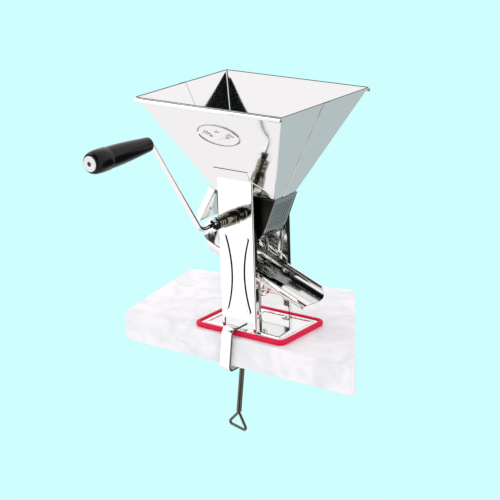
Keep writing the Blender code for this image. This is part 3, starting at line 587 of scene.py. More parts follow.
# legs: stamped channels with two bowed ribs, an arch and a bent-out tab
leg = {"sheet": 1.2 * mm, "bend": 1.8 * mm, "flange": 7.5 * mm, "lip": 1.7 * mm,
       "ribRise": 1.5 * mm, "ribWidth": 7.5 * mm, "ribLow": 31 * mm, "ribHigh": 142 * mm,
       "waist": 10.5 * mm, "spread": 19 * mm, "archWide": 50 * mm, "archHigh": 15.5 * mm,
       "archCorner": 5 * mm, "bendRadius": 5 * mm, "rows": 170}


def ribLift(x, z):
    # two raised beads bowed towards each other, round in section, with round ends
    middle = (leg["ribLow"] + leg["ribHigh"]) / 2.0
    half = (leg["ribHigh"] - leg["ribLow"]) / 2.0 - leg["ribWidth"] / 2.0
    share = np.clip((z - middle) / half, -1.0, 1.0)
    line = leg["waist"] + (leg["spread"] - leg["waist"]) * share ** 2
    slope = 2.0 * (leg["spread"] - leg["waist"]) * share / half
    beyond = np.maximum(np.abs(z - middle) - half, 0.0)
    across = (np.abs(x) - line) / np.sqrt(1.0 + slope ** 2)
    distance = np.hypot(across, beyond)
    share = np.clip(distance / (leg["ribWidth"] / 2.0), 0.0, 1.0)
    return leg["ribRise"] * (1.0 - smoothStep(0.30, 1.0, share))


def legShape(name, side, node):
    low, high = boxOf(node)
    face = max(abs(low[1]), abs(high[1]))
    middleX = (low[0] + high[0]) / 2.0
    half = (high[0] - low[0]) / 2.0
    plane = 39.0 * mm
    bottom, top = low[2], high[2]
    # columns: rear edge of one flange, its bend, the web, the other bend and flange
    flange = np.linspace(-1.0, 0.0, 8)[:-1]
    turn = np.linspace(0.0, math.pi / 2.0, 7)
    bend = leg["bend"]
    arch = leg["archWide"] / 2.0
    web = np.concatenate([np.linspace(bend - half, -arch, 4)[1:], [-arch + 0.02 * mm],
                          np.linspace(-arch, arch, 86)[1:-1], [arch - 0.02 * mm],
                          np.linspace(arch, half - bend, 4)[:-1]])
    # rows: dense where the ribs are, a rounded bend where the tab starts
    z = np.linspace(0.0, 1.0, leg["rows"])[:, None]
    x = np.concatenate([-half + 0 * flange, -half + bend * (1 - np.cos(turn)), web,
                        (half - bend * (1 - np.cos(turn)))[::-1], half + 0 * flange])[None]
    curve = np.concatenate([bend + 0 * flange, bend * (1 - np.sin(turn)), 0 * web,
                            (bend * (1 - np.sin(turn)))[::-1], bend + 0 * flange])[None]
    reach = np.concatenate([-flange, 0 * turn, 0 * web, 0 * turn, -flange[::-1]])[None]
    inArch = np.clip(np.abs(x) - (arch - leg["archCorner"]), 0.0, leg["archCorner"])
    archTop = leg["archHigh"] - leg["archCorner"] + np.sqrt(leg["archCorner"] ** 2 - inArch ** 2)
    start = bottom + np.where(np.abs(x) < arch - 0.01 * mm, archTop, 0.0)
    bendZ = throatZ + (plane - hopper["throatY"] - (leg["lip"] + hopper["gap"])
                       * math.hypot(1.0, slopeY)) / slopeY
    length = (bendZ - start) + (top - bendZ)
    climb = start + z * length
    tab = np.maximum(climb - bendZ, 0.0)
    eased = np.where(tab < leg["bendRadius"], tab ** 2 / (2 * leg["bendRadius"]),
                     tab - leg["bendRadius"] / 2.0)
    outward = plane + slopeY * eased
    fade = 1.0 - smoothStep(throatZ - 36 * mm, throatZ - 10 * mm, climb)
    depth = leg["lip"] + 0.2 * mm + (leg["flange"] - leg["lip"] - 0.2 * mm) * fade
    y = outward - curve - reach * (depth - bend)
    y = np.minimum(y + ribLift(x, climb), face)
    grid = np.stack([middleX + x + 0 * climb, side * y, climb], -1)
    away = np.array([0.0, side * 1.0, 0.0])
    sheet(name, grid, leg["sheet"], away, "mirror", "frame", "polished_sheet", (node,), sharp=50)


legShape("frontLeg", -1, "front_leg")
legShape("rearLeg", 1, "rear_leg")
print("legs made")


# base: rubber foot with a pressed plate
foot = {"bead": 6.5 * mm, "high": 7.2 * mm, "corner": 8 * mm, "floor": 2 * mm, "grooveIn": 6.5 * mm,
        "grooveDeep": 1.1 * mm, "grooveWide": 3.2 * mm}


def loopOf(length, width, corner, steps=8):
    # points of a rounded rectangle with a few along each straight side
    quarter = np.linspace(0.0, math.pi / 2.0, steps + 1)
    parts = []
    for k, (sx, sy) in enumerate(((1, 1), (-1, 1), (-1, -1), (1, -1))):
        middle = np.array([sx * (length / 2 - corner), sy * (width / 2 - corner)])
        angle = quarter + k * math.pi / 2.0
        parts.append(middle + corner * np.stack([np.cos(angle), np.sin(angle)], -1))
    full = np.concatenate(parts)
    dense = []
    for k in range(len(full)):
        ahead = full[(k + 1) % len(full)]
        parts = 10 if k % (steps + 1) == steps else 1
        share = np.linspace(0.0, 1.0, parts, endpoint=False)[:, None]
        dense.append(full[k] + (ahead - full[k]) * share)
    return np.concatenate(dense)


def makeFoot():
    low, high = boxOf("base_gasket")
    length = high[0] - low[0]
    width = high[1] - low[1]
    bead = foot["bead"]
    angle = np.linspace(-1.35, math.pi, 22)
    tall = foot["high"]
    across, climb = np.cos(angle), np.sin(angle)
    curve = np.stack([-bead / 2 + bead / 2 * np.sign(across) * np.abs(across) ** 0.8,
                      tall / 2 + tall / 2 * np.sign(climb) * np.abs(climb) ** 0.8], -1)
    curve[:, 1] = np.maximum(curve[:, 1], 0.0)
    section = np.concatenate([[[-bead * 0.35, 0.0]], curve, [[-bead, foot["floor"]]]])
    loops = []
    for out, z in section:
        flat = loopOf(length + 2 * out, width + 2 * out, foot["corner"] + bead / 2 + out)
        flat = flat + (low[:2] + high[:2]) / 2.0
        loops.append(np.column_stack([flat, np.full(len(flat), z)]))
    rings("rubberFoot", np.array(loops), "rubber", "frame", "red_rubber", ("base_gasket",))
    low, high = boxOf("base_plate")
    length = high[0] - low[0]
    width = high[1] - low[1]
    top = high[2]
    dip = foot["grooveDeep"]
    at = foot["grooveIn"]
    wide = foot["grooveWide"]
    profile = [(0.0, low[2]), (0.0, top - 1.0 * mm), (0.3 * mm, top - 0.35 * mm), (1.1 * mm, top)]
    for share in np.linspace(0.0, 1.0, 11):
        profile.append((at + wide * (share - 0.5), top - dip * math.sin(math.pi * share) ** 1.2))
    profile += [(14 * mm, top), (24 * mm, top), (40 * mm, top)]
    loops = []
    for inward, z in profile:
        corner = max(foot["corner"] - bead / 2 - inward * 0.5, 1.2 * mm)
        flat = loopOf(length - 2 * inward, width - 2 * inward, corner)
        flat = flat + (low[:2] + high[:2]) / 2.0
        loops.append(np.column_stack([flat, np.full(len(flat), z)]))
    rings("basePlate", np.array(loops), "mirror", "frame", "polished_sheet", ("base_plate",),
          sharp=60)


makeFoot()
print("foot made")


# press chamber: pierced screen, hood and slide for the waste
screen = {"radius": 41.5 * mm, "sheet": 0.8 * mm, "lip": -157.0, "cell": 4.1 * mm,
          "slotLong": 4.35 * mm, "slotWide": 1.25 * mm, "plainTop": 2, "plainEnd": 1}


def screenPath(distance):
    # straight down from the throat to where the arc round the shaft starts, then the arc
    startX = hopper["throatX"] - shaftAt[0]
    startZ = throatZ - 0.7 * mm - shaftAt[2]
    far = math.hypot(startX, startZ)
    meet = math.atan2(startZ, startX) - math.acos(screen["radius"] / far)
    flat = math.sqrt(far ** 2 - screen["radius"] ** 2)
    along = np.minimum(distance, flat)
    bent = np.maximum(distance - flat, 0.0) / screen["radius"]
    footX = screen["radius"] * math.cos(meet)
    footZ = screen["radius"] * math.sin(meet)
    straightX = startX + (footX - startX) * along / flat
    straightZ = startZ + (footZ - startZ) * along / flat
    angle = meet - bent
    x = np.where(bent > 0, screen["radius"] * np.cos(angle), straightX)
    z = np.where(bent > 0, screen["radius"] * np.sin(angle), straightZ)
    normal = np.stack([np.cos(angle), 0.0 * angle, np.sin(angle)], -1)
    total = flat + screen["radius"] * (meet - math.radians(screen["lip"]))
    return x + shaftAt[0], z + shaftAt[2], normal, total


def makeScreen():
    # square cells, each with a slot turned 45 degrees, so the slots line up in slanting rows
    total = screenPath(np.zeros(1))[3]
    low, high = boxOf("sieve_screen")
    rows = int(round(total / screen["cell"]))
    columns = int(round((high[1] - low[1]) / screen["cell"]))
    stepS = total / rows
    stepY = (high[1] - low[1]) / columns
    r, c = np.meshgrid(np.arange(rows), np.arange(columns), indexing="ij")
    edge = np.array([(0, 0), (0.5, 0), (1, 0), (1, 0.5), (1, 1), (0.5, 1), (0, 1), (0, 0.5)])
    squareS = (r[..., None] + edge[:, 0]) * stepS
    squareY = low[1] + (c[..., None] + edge[:, 1]) * stepY
    slot = softRectangle(screen["slotLong"], screen["slotWide"], screen["slotWide"] * 0.35, 1)
    turn = math.radians(45.0)
    slotS = slot[:, 0] * math.cos(turn) - slot[:, 1] * math.sin(turn)
    slotY = slot[:, 0] * math.sin(turn) + slot[:, 1] * math.cos(turn)
    ordering = np.roll(np.argsort(np.arctan2(slotY, slotS)), -1)
    squareOrder = np.argsort(np.arctan2(edge[:, 1] - 0.5, edge[:, 0] - 0.5))
    squareS, squareY = squareS[..., squareOrder], squareY[..., squareOrder]
    holeS = (r[..., None] + 0.5) * stepS + slotS[ordering]
    holeY = low[1] + (c[..., None] + 0.5) * stepY + slotY[ordering]
    s = np.concatenate([squareS, holeS], -1)
    y = np.concatenate([squareY, holeY], -1)
    x, z, normal = screenPath(s)[:3]
    outer = np.stack([x, y, z], -1) + normal * screen["sheet"]
    inner = np.stack([x, y, z], -1)
    points = np.stack([outer, inner], axis=2).reshape(-1, 3)
    cell = np.arange(rows * columns).reshape(rows, columns) * 32
    plain = ((r < screen["plainTop"]) | (r >= rows - screen["plainEnd"])
             | (c < 1) | (c >= columns - 1))
    k = np.arange(8)
    n = (k + 1) % 8
    ringTop = np.stack([k, n, n + 8, k + 8], -1)
    ringLow = ringTop[:, ::-1] + 16
    wall = np.stack([k + 8, n + 8, n + 24, k + 24], -1)
    pierced = np.concatenate([ringTop, ringLow, wall])
    faces = (cell[~plain][:, None, None] + pierced).reshape(-1, 4).tolist()
    faces += (cell[plain][:, None] + k).tolist()
    faces += (cell[plain][:, None] + k[::-1] + 16).tolist()
    # close the four outer edges between the two faces
    order = list(squareOrder)
    sides = (((0, slice(None)), (0, 7, 6)), ((rows - 1, slice(None)), (2, 3, 4)),
             ((slice(None), 0), (0, 1, 2)), ((slice(None), columns - 1), (6, 5, 4)))
    for place, corners in sides:
        a, b, d = [order.index(corner) for corner in corners]
        starts = cell[place].reshape(-1, 1)
        faces += (starts + np.array([a, b, b + 16, a + 16])).tolist()
        faces += (starts + np.array([b, d, d + 16, b + 16])).tolist()
    addPiece("pressScreen", points, faces, "screen", "frame", "polished_sheet",
             ("sieve_screen",), sharp=40)


makeScreen()


def channel(name, start, end, out, halfWidth, flange, bend, thickness, node, tip=0.0):
    # flat strip with a flange folded up along each side, the folds rounded
    out = unit(np.asarray(out, dtype=float))
    turn = np.linspace(0.0, math.pi / 2.0, 7)
    side = np.concatenate([[-halfWidth, -halfWidth], -halfWidth + bend * (1 - np.sin(turn[::-1])),
                           np.linspace(bend - halfWidth, halfWidth - bend, 24)[1:-1],
                           halfWidth - bend * (1 - np.sin(turn)), [halfWidth, halfWidth]])
    lift = np.concatenate([[flange, (flange + bend) / 2], bend * (1 - np.cos(turn[::-1])),
                           np.zeros(22), bend * (1 - np.cos(turn)), [(flange + bend) / 2, flange]])
    share = np.linspace(0.0, 1.0, 16)[:, None, None]
    spine = np.asarray(start) + (np.asarray(end) - np.asarray(start)) * share
    taper = 1.0 - tip * smoothStep(0.75, 1.0, share[..., 0]) * (lift > bend)
    grid = (spine + side[None, :, None] * np.array([0.0, 1.0, 0.0])
            + (lift[None] * taper)[..., None] * out)
    sheet(name, grid, thickness, -out, "mirror", "frame", "polished_sheet", (node,), sharp=50)


waste = {"hoodEnd": (-79.0 * mm, 0.0, 147.0 * mm), "hoodFlange": 10 * mm,
         "slideEnd": (-68.0 * mm, 0.0, 128.0 * mm), "slideFlange": 5 * mm, "sheet": 0.8 * mm}


def makeWaste():
    high = boxOf("waste_hood")[1]
    start = np.array([-hopper["throatX"] - 0.6 * mm, 0.0, throatZ - 1.0 * mm])
    end = np.array(waste["hoodEnd"])
    along = unit(end - start)
    out = np.array([along[2], 0.0, -along[0]])
    channel("wasteHood", start, end, out, high[1], waste["hoodFlange"], 1.6 * mm, waste["sheet"],
            "waste_hood", tip=0.35)
    angle = math.radians(screen["lip"])
    lip = shaftAt + screen["radius"] * np.array([math.cos(angle), 0.0, math.sin(angle)])
    end = np.array(waste["slideEnd"])
    along = unit(end - lip)
    up = np.array([along[2], 0.0, -along[0]])
    high = boxOf("waste_slide")[1]
    channel("wasteSlide", lip + along * 1.2 * mm, end, up, high[1], waste["slideFlange"], 1.2 * mm,
            waste["sheet"], "waste_slide", tip=0.5)


makeWaste()
print("press chamber made")


# juice trough
trough = {"sheet": 0.8 * mm, "slope": 0.39, "deep": 28 * mm, "lipDeep": 24 * mm,
          "bead": 1.3 * mm, "roundAt": -60 * mm, "roundLong": 18 * mm, "rimFrom": 88 * mm,
          "rimZ": 64.5 * mm, "tip": 92 * mm, "lipBack": 13 * mm, "lipCorner": 6 * mm}


def makeTrough():
    # half-round sections on a slope, closed by a rounded end, the lip's corners cut round
    high = boxOf("juice_trough")[1]
    half = high[1] - trough["bead"]
    theta = np.linspace(0.0, math.pi, 61)[None]
    turn = np.linspace(math.pi / 2.0 * 0.985, 0.0, 26)[:, None]
    endX = trough["roundAt"] - trough["roundLong"] * np.sin(turn) + 0 * theta
    endScale = np.cos(turn) ** 0.75 + 0 * theta
    share = np.linspace(0.0, 1.0, 60)[1:, None]
    stop = (trough["tip"] - trough["lipBack"] * np.sin(theta) ** 4
            - trough["lipCorner"] * np.cos(theta) ** 24)
    runX = trough["roundAt"] + (stop - trough["roundAt"]) * share
    x = np.concatenate([endX, runX])
    scale = np.concatenate([endScale, np.ones_like(runX)])
    rim = trough["rimZ"] + trough["slope"] * (trough["rimFrom"] - x)
    shallow = np.clip((x - trough["roundAt"]) / (trough["rimFrom"] - trough["roundAt"]), 0, 1)
    deep = trough["deep"] - (trough["deep"] - trough["lipDeep"]) * shallow
    y = half * scale * np.cos(theta)
    z = rim - deep * scale * np.sin(theta)
    # the rims turn out into a small flat bead
    outX, outZ = x[:, :1], rim[:, :1]
    far = np.stack([outX, y[:, :1] + trough["bead"], outZ], -1)
    farMid = np.stack([outX, y[:, :1] + trough["bead"] * 0.5, outZ + 0.15 * mm], -1)
    near = far * np.array([1.0, -1.0, 1.0])
    nearMid = farMid * np.array([1.0, -1.0, 1.0])
    grid = np.concatenate([far, farMid, np.stack([x, y, z], -1), nearMid, near], axis=1)
    sheet("juiceTrough", grid, trough["sheet"], np.array([0.0, 0.0, -1.0]), "mirror", "frame",
          "polished_sheet", ("juice_trough",), sharp=60)


makeTrough()


def makeClip():
    low, high = boxOf("trough_clip")
    y = (low[1] + high[1]) / 2.0
    wire = (high[1] - low[1]) / 2.0
    corners = [(low[0] + wire, y, high[2]), (low[0] + 1.8 * mm, y, low[2] + 2.5 * mm),
               (high[0] - 1.8 * mm, y, low[2] + wire), (high[0] - wire, y, low[2] + 12 * mm)]
    swept("troughClip", rounded(corners, 2.2 * mm), circleSection(wire, 16), (0, 1, 0),
          "plated", "frame", "fittings", ("trough_clip",))


makeClip()
print("trough made")


# shaft fittings and crank
def hexShape(flats):
    # radius of a hexagon at an angle, with its corners just broken
    def radius(angle):
        swing = np.mod(angle + math.pi / 6.0, math.pi / 3.0) - math.pi / 6.0
        return np.minimum(flats / 2.0 / np.cos(swing), flats / 2.0 * 1.13)
    return radius


bush = {"face": 39.3 * mm, "flange": 1.7 * mm, "neck": 7.0 * mm}
shaftBore = 4.1 * mm


def makeBushes():
    # bearing bush: thin flange against the leg, then a turned neck
    for word, side in (("front", -1), ("rear", 1)):
        low, high = boxOf(word + "_bush")
        inner = min(abs(low[1]), abs(high[1]))
        outer = max(abs(low[1]), abs(high[1]))
        radius = (high[0] - low[0]) / 2.0
        face = bush["face"]
        flange = face + bush["flange"]
        neck = bush["neck"]
        profile = [(neck, inner), (neck, face), (radius - 0.3 * mm, face), (radius, face + 0.3 * mm),
                   (radius, flange - 0.5 * mm), (radius - 0.5 * mm, flange),
                   (neck + 0.4 * mm, flange), (neck, outer), (shaftBore, outer),
                   (shaftBore, inner)]
        turned(word + "Bush", profile, shaftAt, (0, side, 0), "plated", "frame", "fittings",
               (word + "_bush",), bored=True)


def makeCrankFittings():
    low, high = boxOf("crank_ferrule")
    radius = (high[0] - low[0]) / 2.0
    a, b = -high[1], -low[1]
    band = (b - a) / 5.0
    profile = [(radius * 0.92, a), (radius * 0.98, a + 0.4 * mm), (radius, a + 1.2 * mm),
               (radius * 0.98, a + band * 1.5), (radius * 0.92, a + band * 1.65),
               (radius * 0.92, a + band * 1.85), (radius * 0.97, a + band * 2.0),
               (radius * 0.89, b - 1.5 * mm), (radius * 0.82, b - 0.4 * mm),
               (radius * 0.74, b), (shaftBore, b), (shaftBore, a)]
    turned("crankFerrule", profile, shaftAt, (0, -1, 0), "turned", "crank", "ferrule_steel",
           ("crank_ferrule",), bored=True)
    low, high = boxOf("crank_lock_ring")
    radius = (high[0] - low[0]) / 2.0
    a, b = -high[1], -low[1]
    coil = np.linspace(0.0, 1.0, 61)
    ripple = radius - 1.3 * mm + 1.3 * mm * np.abs(np.sin(coil * 3.0 * math.pi)) ** 0.4
    profile = [(r, a + (b - a) * t) for r, t in zip(ripple, coil)]
    profile += [(shaftBore, b), (shaftBore, a)]
    turned("crankLockRing", profile, shaftAt, (0, -1, 0), "turned", "crank", "ferrule_steel",
           ("crank_lock_ring",), bored=True, sharp=60)
    low, high = boxOf("crank_nut")
    flats = high[2] - low[2]
    a, b = -high[1], -low[1]
    radius = (high[0] - low[0]) / 2.0
    profile = [(radius * 0.86, a), (radius * 0.93, a + 0.7 * mm), (radius, a + 1.9 * mm),
               (radius, b - 4.2 * mm), (radius * 0.90, b - 2.6 * mm), (radius * 0.70, b - 0.8 * mm),
               (radius * 0.62, b), (3.6 * mm, b), (3.6 * mm, a)]
    turned("crankNut", profile, shaftAt, (0, -1, 0), "plated", "crank", "crank_steel",
           ("crank_nut",), segments=96, bored=True, shape=hexShape(flats), sharp=22)


crank = {"foot": -114.5 * mm, "bend": 14 * mm, "gripBend": 5 * mm, "radius": 3.5 * mm,
         "armStep": 4.5 * mm}


def makeCrankRod():
    # one bar: out of the nut, up and away from the hopper along the arm, out through the grip
    low, high = boxOf("crank_rod")
    armTop = gripAt[1] + crank["armStep"]
    corners = [(shaftAt[0], high[1], shaftAt[2]), (shaftAt[0], crank["foot"], shaftAt[2]),
               (gripAt[0], armTop, gripAt[2]), (gripAt[0], low[1], gripAt[2])]
    arm = np.array(corners[2]) - np.array(corners[1])
    path = rounded(corners, [crank["bend"], crank["gripBend"]], 12)
    swept("crankRod", path, circleSection(crank["radius"], 28), np.cross(arm, (0, 1, 0)), "plated",
          "crank", "crank_steel", ("crank_rod",))


gripShape = {"small": 9.5 * mm, "large": 14.1 * mm, "dome": 10.2 * mm, "bore": 3.6 * mm,
             "shoulder": 0.73}


def makeGrip():
    # moulded handle: slim at the rod, swelling outwards, a shallow step, a rounded end
    low, high = boxOf("crank_grip")
    length = high[1] - low[1]
    knob = (high[0] - low[0]) / 2.0
    small, large, bore = gripShape["small"], gripShape["large"], gripShape["bore"]
    shoulder = length * gripShape["shoulder"]
    share = np.linspace(0.0, 1.0, 24)
    body = [(small + (large - small) * math.sin(s * math.pi / 2.0) ** 1.1,
             2.2 * mm + (shoulder - 2.2 * mm) * s) for s in share]
    front = [(small - 2.2 * mm, 0.0), (small - 0.9 * mm, 0.35 * mm), (small - 0.2 * mm, 1.2 * mm)]
    rest = length - shoulder
    swing = np.linspace(0.0, math.pi / 2.0, 12)
    dome = [(gripShape["dome"] + (knob - gripShape["dome"]) * math.cos(t) ** 0.8,
             shoulder + rest * 0.5 + rest * 0.5 * math.sin(t)) for t in swing]
    step = [(large - 0.25 * mm, shoulder + 0.4 * mm), (large + 0.4 * mm, shoulder + 0.8 * mm),
            (knob, shoulder + 1.9 * mm)]
    profile = front + body + step + dome + [(bore, length), (bore, 0.0)]
    turned("crankGrip", profile, gripAt, (0, -1, 0), "grip", "grip", "black_plastic",
           ("crank_grip",), segments=96, bored=True, sharp=32)
    low, high = boxOf("grip_end_cap")
    radius = (high[0] - low[0]) / 2.0
    thick = high[1] - low[1]
    profile = [(0.02 * mm, 0.0), (radius, 0.0), (radius, thick * 0.55),
               (radius - 0.5 * mm, thick * 0.9), (radius - 1.3 * mm, thick),
               (3.4 * mm, thick), (3.1 * mm, thick * 0.9), (2.9 * mm, thick * 0.35),
               (0.02 * mm, thick * 0.35)]
    start = (gripAt[0], high[1], gripAt[2])
    turned("gripEndCap", profile, start, (0, -1, 0), "cap", "grip", "white_cap",
           ("grip_end_cap",), sharp=32)
    plug = [(0.02 * mm, thick * 0.37), (2.8 * mm, thick * 0.37), (2.8 * mm, thick * 0.72),
            (2.3 * mm, thick * 0.84), (0.02 * mm, thick * 0.84)]
    turned("gripEndPlug", plug, start, (0, -1, 0), "recess", "grip", "black_plastic", sharp=32)


makeBushes()
makeCrankFittings()
makeCrankRod()
makeGrip()
print("crank made")


# clamp: bent flat bar, threaded boss, pad, screw and wire loop
clamp = {"wide": 17 * mm, "thick": 3.5 * mm, "bend": 8 * mm, "reach": -61.3 * mm,
         "tip": -27 * mm, "end": -11 * mm, "screwY": -20 * mm, "pitch": 2 * mm,
         "screwR": 3.7 * mm, "threadDeep": 0.55 * mm, "screwLong": 82.5 * mm,
         "padGap": 4.5 * mm, "loopTurn": -6.0, "loopWire": 2.0 * mm, "loopHalf": 18.5 * mm,
         "loopHigh": 23.8 * mm, "loopBend": 3.5 * mm}
lean = math.atan2(screwUp[0], screwUp[2])


def leaned(points):
    # the upright clamp turned about its hook by the lean that the frame gives
    points = np.asarray(points, dtype=float) - clampAt
    x = points[..., 0] * math.cos(lean) + points[..., 2] * math.sin(lean)
    z = points[..., 2] * math.cos(lean) - points[..., 0] * math.sin(lean)
    return np.stack([x, points[..., 1], z], -1) + clampAt


opening = (clampAt[2] - math.hypot(*(padAt - clampAt)[[0, 2]])) * -1.0
armZ = -opening - 4.2 * mm - 0.6 * mm - clamp["thick"] / 2.0


def makeClampBar():
    x, z = clampAt[0], clampAt[2]
    corners = [(x, clamp["tip"], z), (x, clamp["reach"], z), (x, clamp["reach"], armZ),
               (x, clamp["end"], armZ)]
    section = softRectangle(clamp["wide"], clamp["thick"], 0.7 * mm)
    path = rounded(corners, clamp["bend"], 14)
    marks = np.zeros((len(path) - 1, len(section)), dtype=int)
    marks[:, [8, 9, 10, 18, 19, 0]] = 1
    marks = np.append(marks.ravel(), [1, 1])
    swept("clampBar", leaned(path), section, leaned(clampAt + [1, 0, 0]) - clampAt, "plated",
          "clamp", "clamp_steel", ("clamp_bar",), sharp=45, marks=marks)


def makeClampFittings():
    top = leaned((clampAt[0], clamp["screwY"], armZ - clamp["thick"] / 2.0 - 0.3 * mm))
    radius = 7.5 * mm
    deep = 7.0 * mm
    bore = clamp["screwR"] + 0.1 * mm
    profile = [(radius, 0.0), (radius, deep - 1.4 * mm), (radius - 0.4 * mm, deep - 0.5 * mm),
               (radius - 1.3 * mm, deep), (bore + 0.6 * mm, deep), (bore, deep - 0.6 * mm),
               (bore, 0.0)]
    turned("clampBoss", profile, top, -screwUp, "plated", "clamp", "clamp_steel",
           ("clamp_boss",), bored=True)
    pad = [(0.02 * mm, 0.0), (9.4 * mm, 0.0), (10.6 * mm, 0.3 * mm), (11.0 * mm, 1.0 * mm),
           (11.0 * mm, 1.9 * mm), (10.4 * mm, 2.4 * mm), (7.2 * mm, 3.0 * mm),
           (6.0 * mm, 4.0 * mm), (5.4 * mm, 4.2 * mm), (0.02 * mm, 4.2 * mm)]
    turned("clampPad", pad, padAt, -screwUp, "plated", "pad", "clamp_steel", ("clamp_pad",))


def makeScrew():
    # helix: the radius falls by a thread's depth in step with distance less turn
    along, side, up = axisFrame(-screwUp)
    start = padAt - screwUp * clamp["padGap"]
    length = clamp["screwLong"]
    count = int(length / clamp["pitch"] * 12)
    t = np.linspace(0.0, length, count)[:, None]
    angle = np.linspace(0.0, 2.0 * math.pi, 28, endpoint=False)[None]
    phase = t / clamp["pitch"] - angle / (2.0 * math.pi)
    tooth = np.abs(2.0 * np.mod(phase, 1.0) - 1.0)
    shank = smoothStep(length - 16 * mm, length - 13 * mm, t)
    radius = clamp["screwR"] - clamp["threadDeep"] * smoothStep(0.2, 0.9, tooth) * (1 - shank)
    ends = smoothStep(-0.2 * mm, 1.0 * mm, t) * smoothStep(-0.2 * mm, 1.4 * mm, length - t)
    radius = radius - 0.9 * mm * (1 - ends)
    grid = (start + t[..., None] * along + radius[..., None]
            * (np.cos(angle)[..., None] * side + np.sin(angle)[..., None] * up))
    rings("clampScrew", grid, "thread", "screw", "clamp_steel", ("clamp_screw",), sharp=50)


def makeScrewLoop():
    # wire bent to a triangle, hung point up from the screw
    wire, half, high = clamp["loopWire"], clamp["loopHalf"], clamp["loopHigh"]
    top = -opening - clamp["padGap"] - clamp["screwLong"] - 0.3 * mm - wire
    corners = np.array([[0.0, 0.0], [half, -high], [-half, -high]])
    path = []
    for k in range(3):
        before, here, after = corners[k - 1], corners[k], corners[(k + 1) % 3]
        bend = rounded([(before + here) / 2.0, here, (here + after) / 2.0], clamp["loopBend"],
                       10)
        path.append(bend[1:-1])
        path.append(np.linspace(bend[-2], (here + after) / 2.0, 5)[1:])
    path = np.concatenate(path)
    path[:, 1] += top - path[:, 1].max()
    turn = math.radians(clamp["loopTurn"])
    points = np.stack([clampAt[0] + path[:, 0] * math.cos(turn),
                       clamp["screwY"] + path[:, 0] * math.sin(turn), path[:, 1]], -1)
    binormal = leaned(clampAt + [-math.sin(turn), math.cos(turn), 0]) - clampAt
    swept("screwLoop", leaned(points), circleSection(wire, 20), binormal, "thread", "screw",
          "clamp_steel", ("screw_loop",), closed=True)


makeClampBar()
makeClampFittings()
makeScrew()
makeScrewLoop()
print("clamp made")


# rivets
def makeRivets():
    # domed heads on the feet, full at the seat and closing over in a quarter round
    axis = np.array([0.0, 0.0, 1.0])
    swing = np.linspace(0.0, math.pi / 2.0 * 0.98, 10)
    for node in sorted(nodes):
        if "_rivet_" not in node:
            continue
        low, high = boxOf(node)
        radius = (high[0] - low[0]) / 2.0
        rise = radius * 0.62
        seat = (low + high) / 2.0 - axis * rise / 2.0
        profile = [(radius, 0.0)] + [(radius * math.cos(s) ** 0.8, 0.15 * mm + (rise - 0.15 * mm)
                                      * math.sin(s)) for s in swing]
        parts = node.split("_")
        name = parts[0] + "".join(part.capitalize() for part in parts[1:])
        turned(name, profile, seat, axis, "plated", "frame", "fittings", (node,), segments=28)


makeRivets()


# frame nodes that keep their own shape get a finish
keptFinish = {"polished_sheet": "mirror", "fittings": "plated", "rotor_steel": "mill",
              "crank_steel": "plated", "ferrule_steel": "turned", "clamp_steel": "plated",
              "red_rubber": "rubber", "black_plastic": "grip", "white_cap": "cap"}
slotOf = {part["node"]: part["material_slot"] for part in frame["record"]["subparts"]}
for node, piece in nodes.items():
    piece.data.materials.clear()
    # cheeks and trough saddle get the near-black finish as painted shade
    raw = node.endswith("_cheek") or node.startswith("trough_saddle")
    piece.data.materials.append(finishes["raw" if raw else keptFinish[slotOf[node]]])
print("frame nodes finished")


# stage: a pale slab whose front edge the clamp grips, pale surroundings, soft light
stage = {"corners": ((-0.200, -0.0575), (0.197, -0.0575), (0.031, 0.195), (-0.241, 0.146)),
         "thick": 42.5 * mm, "edge": 2.5 * mm, "corner": 6 * mm}


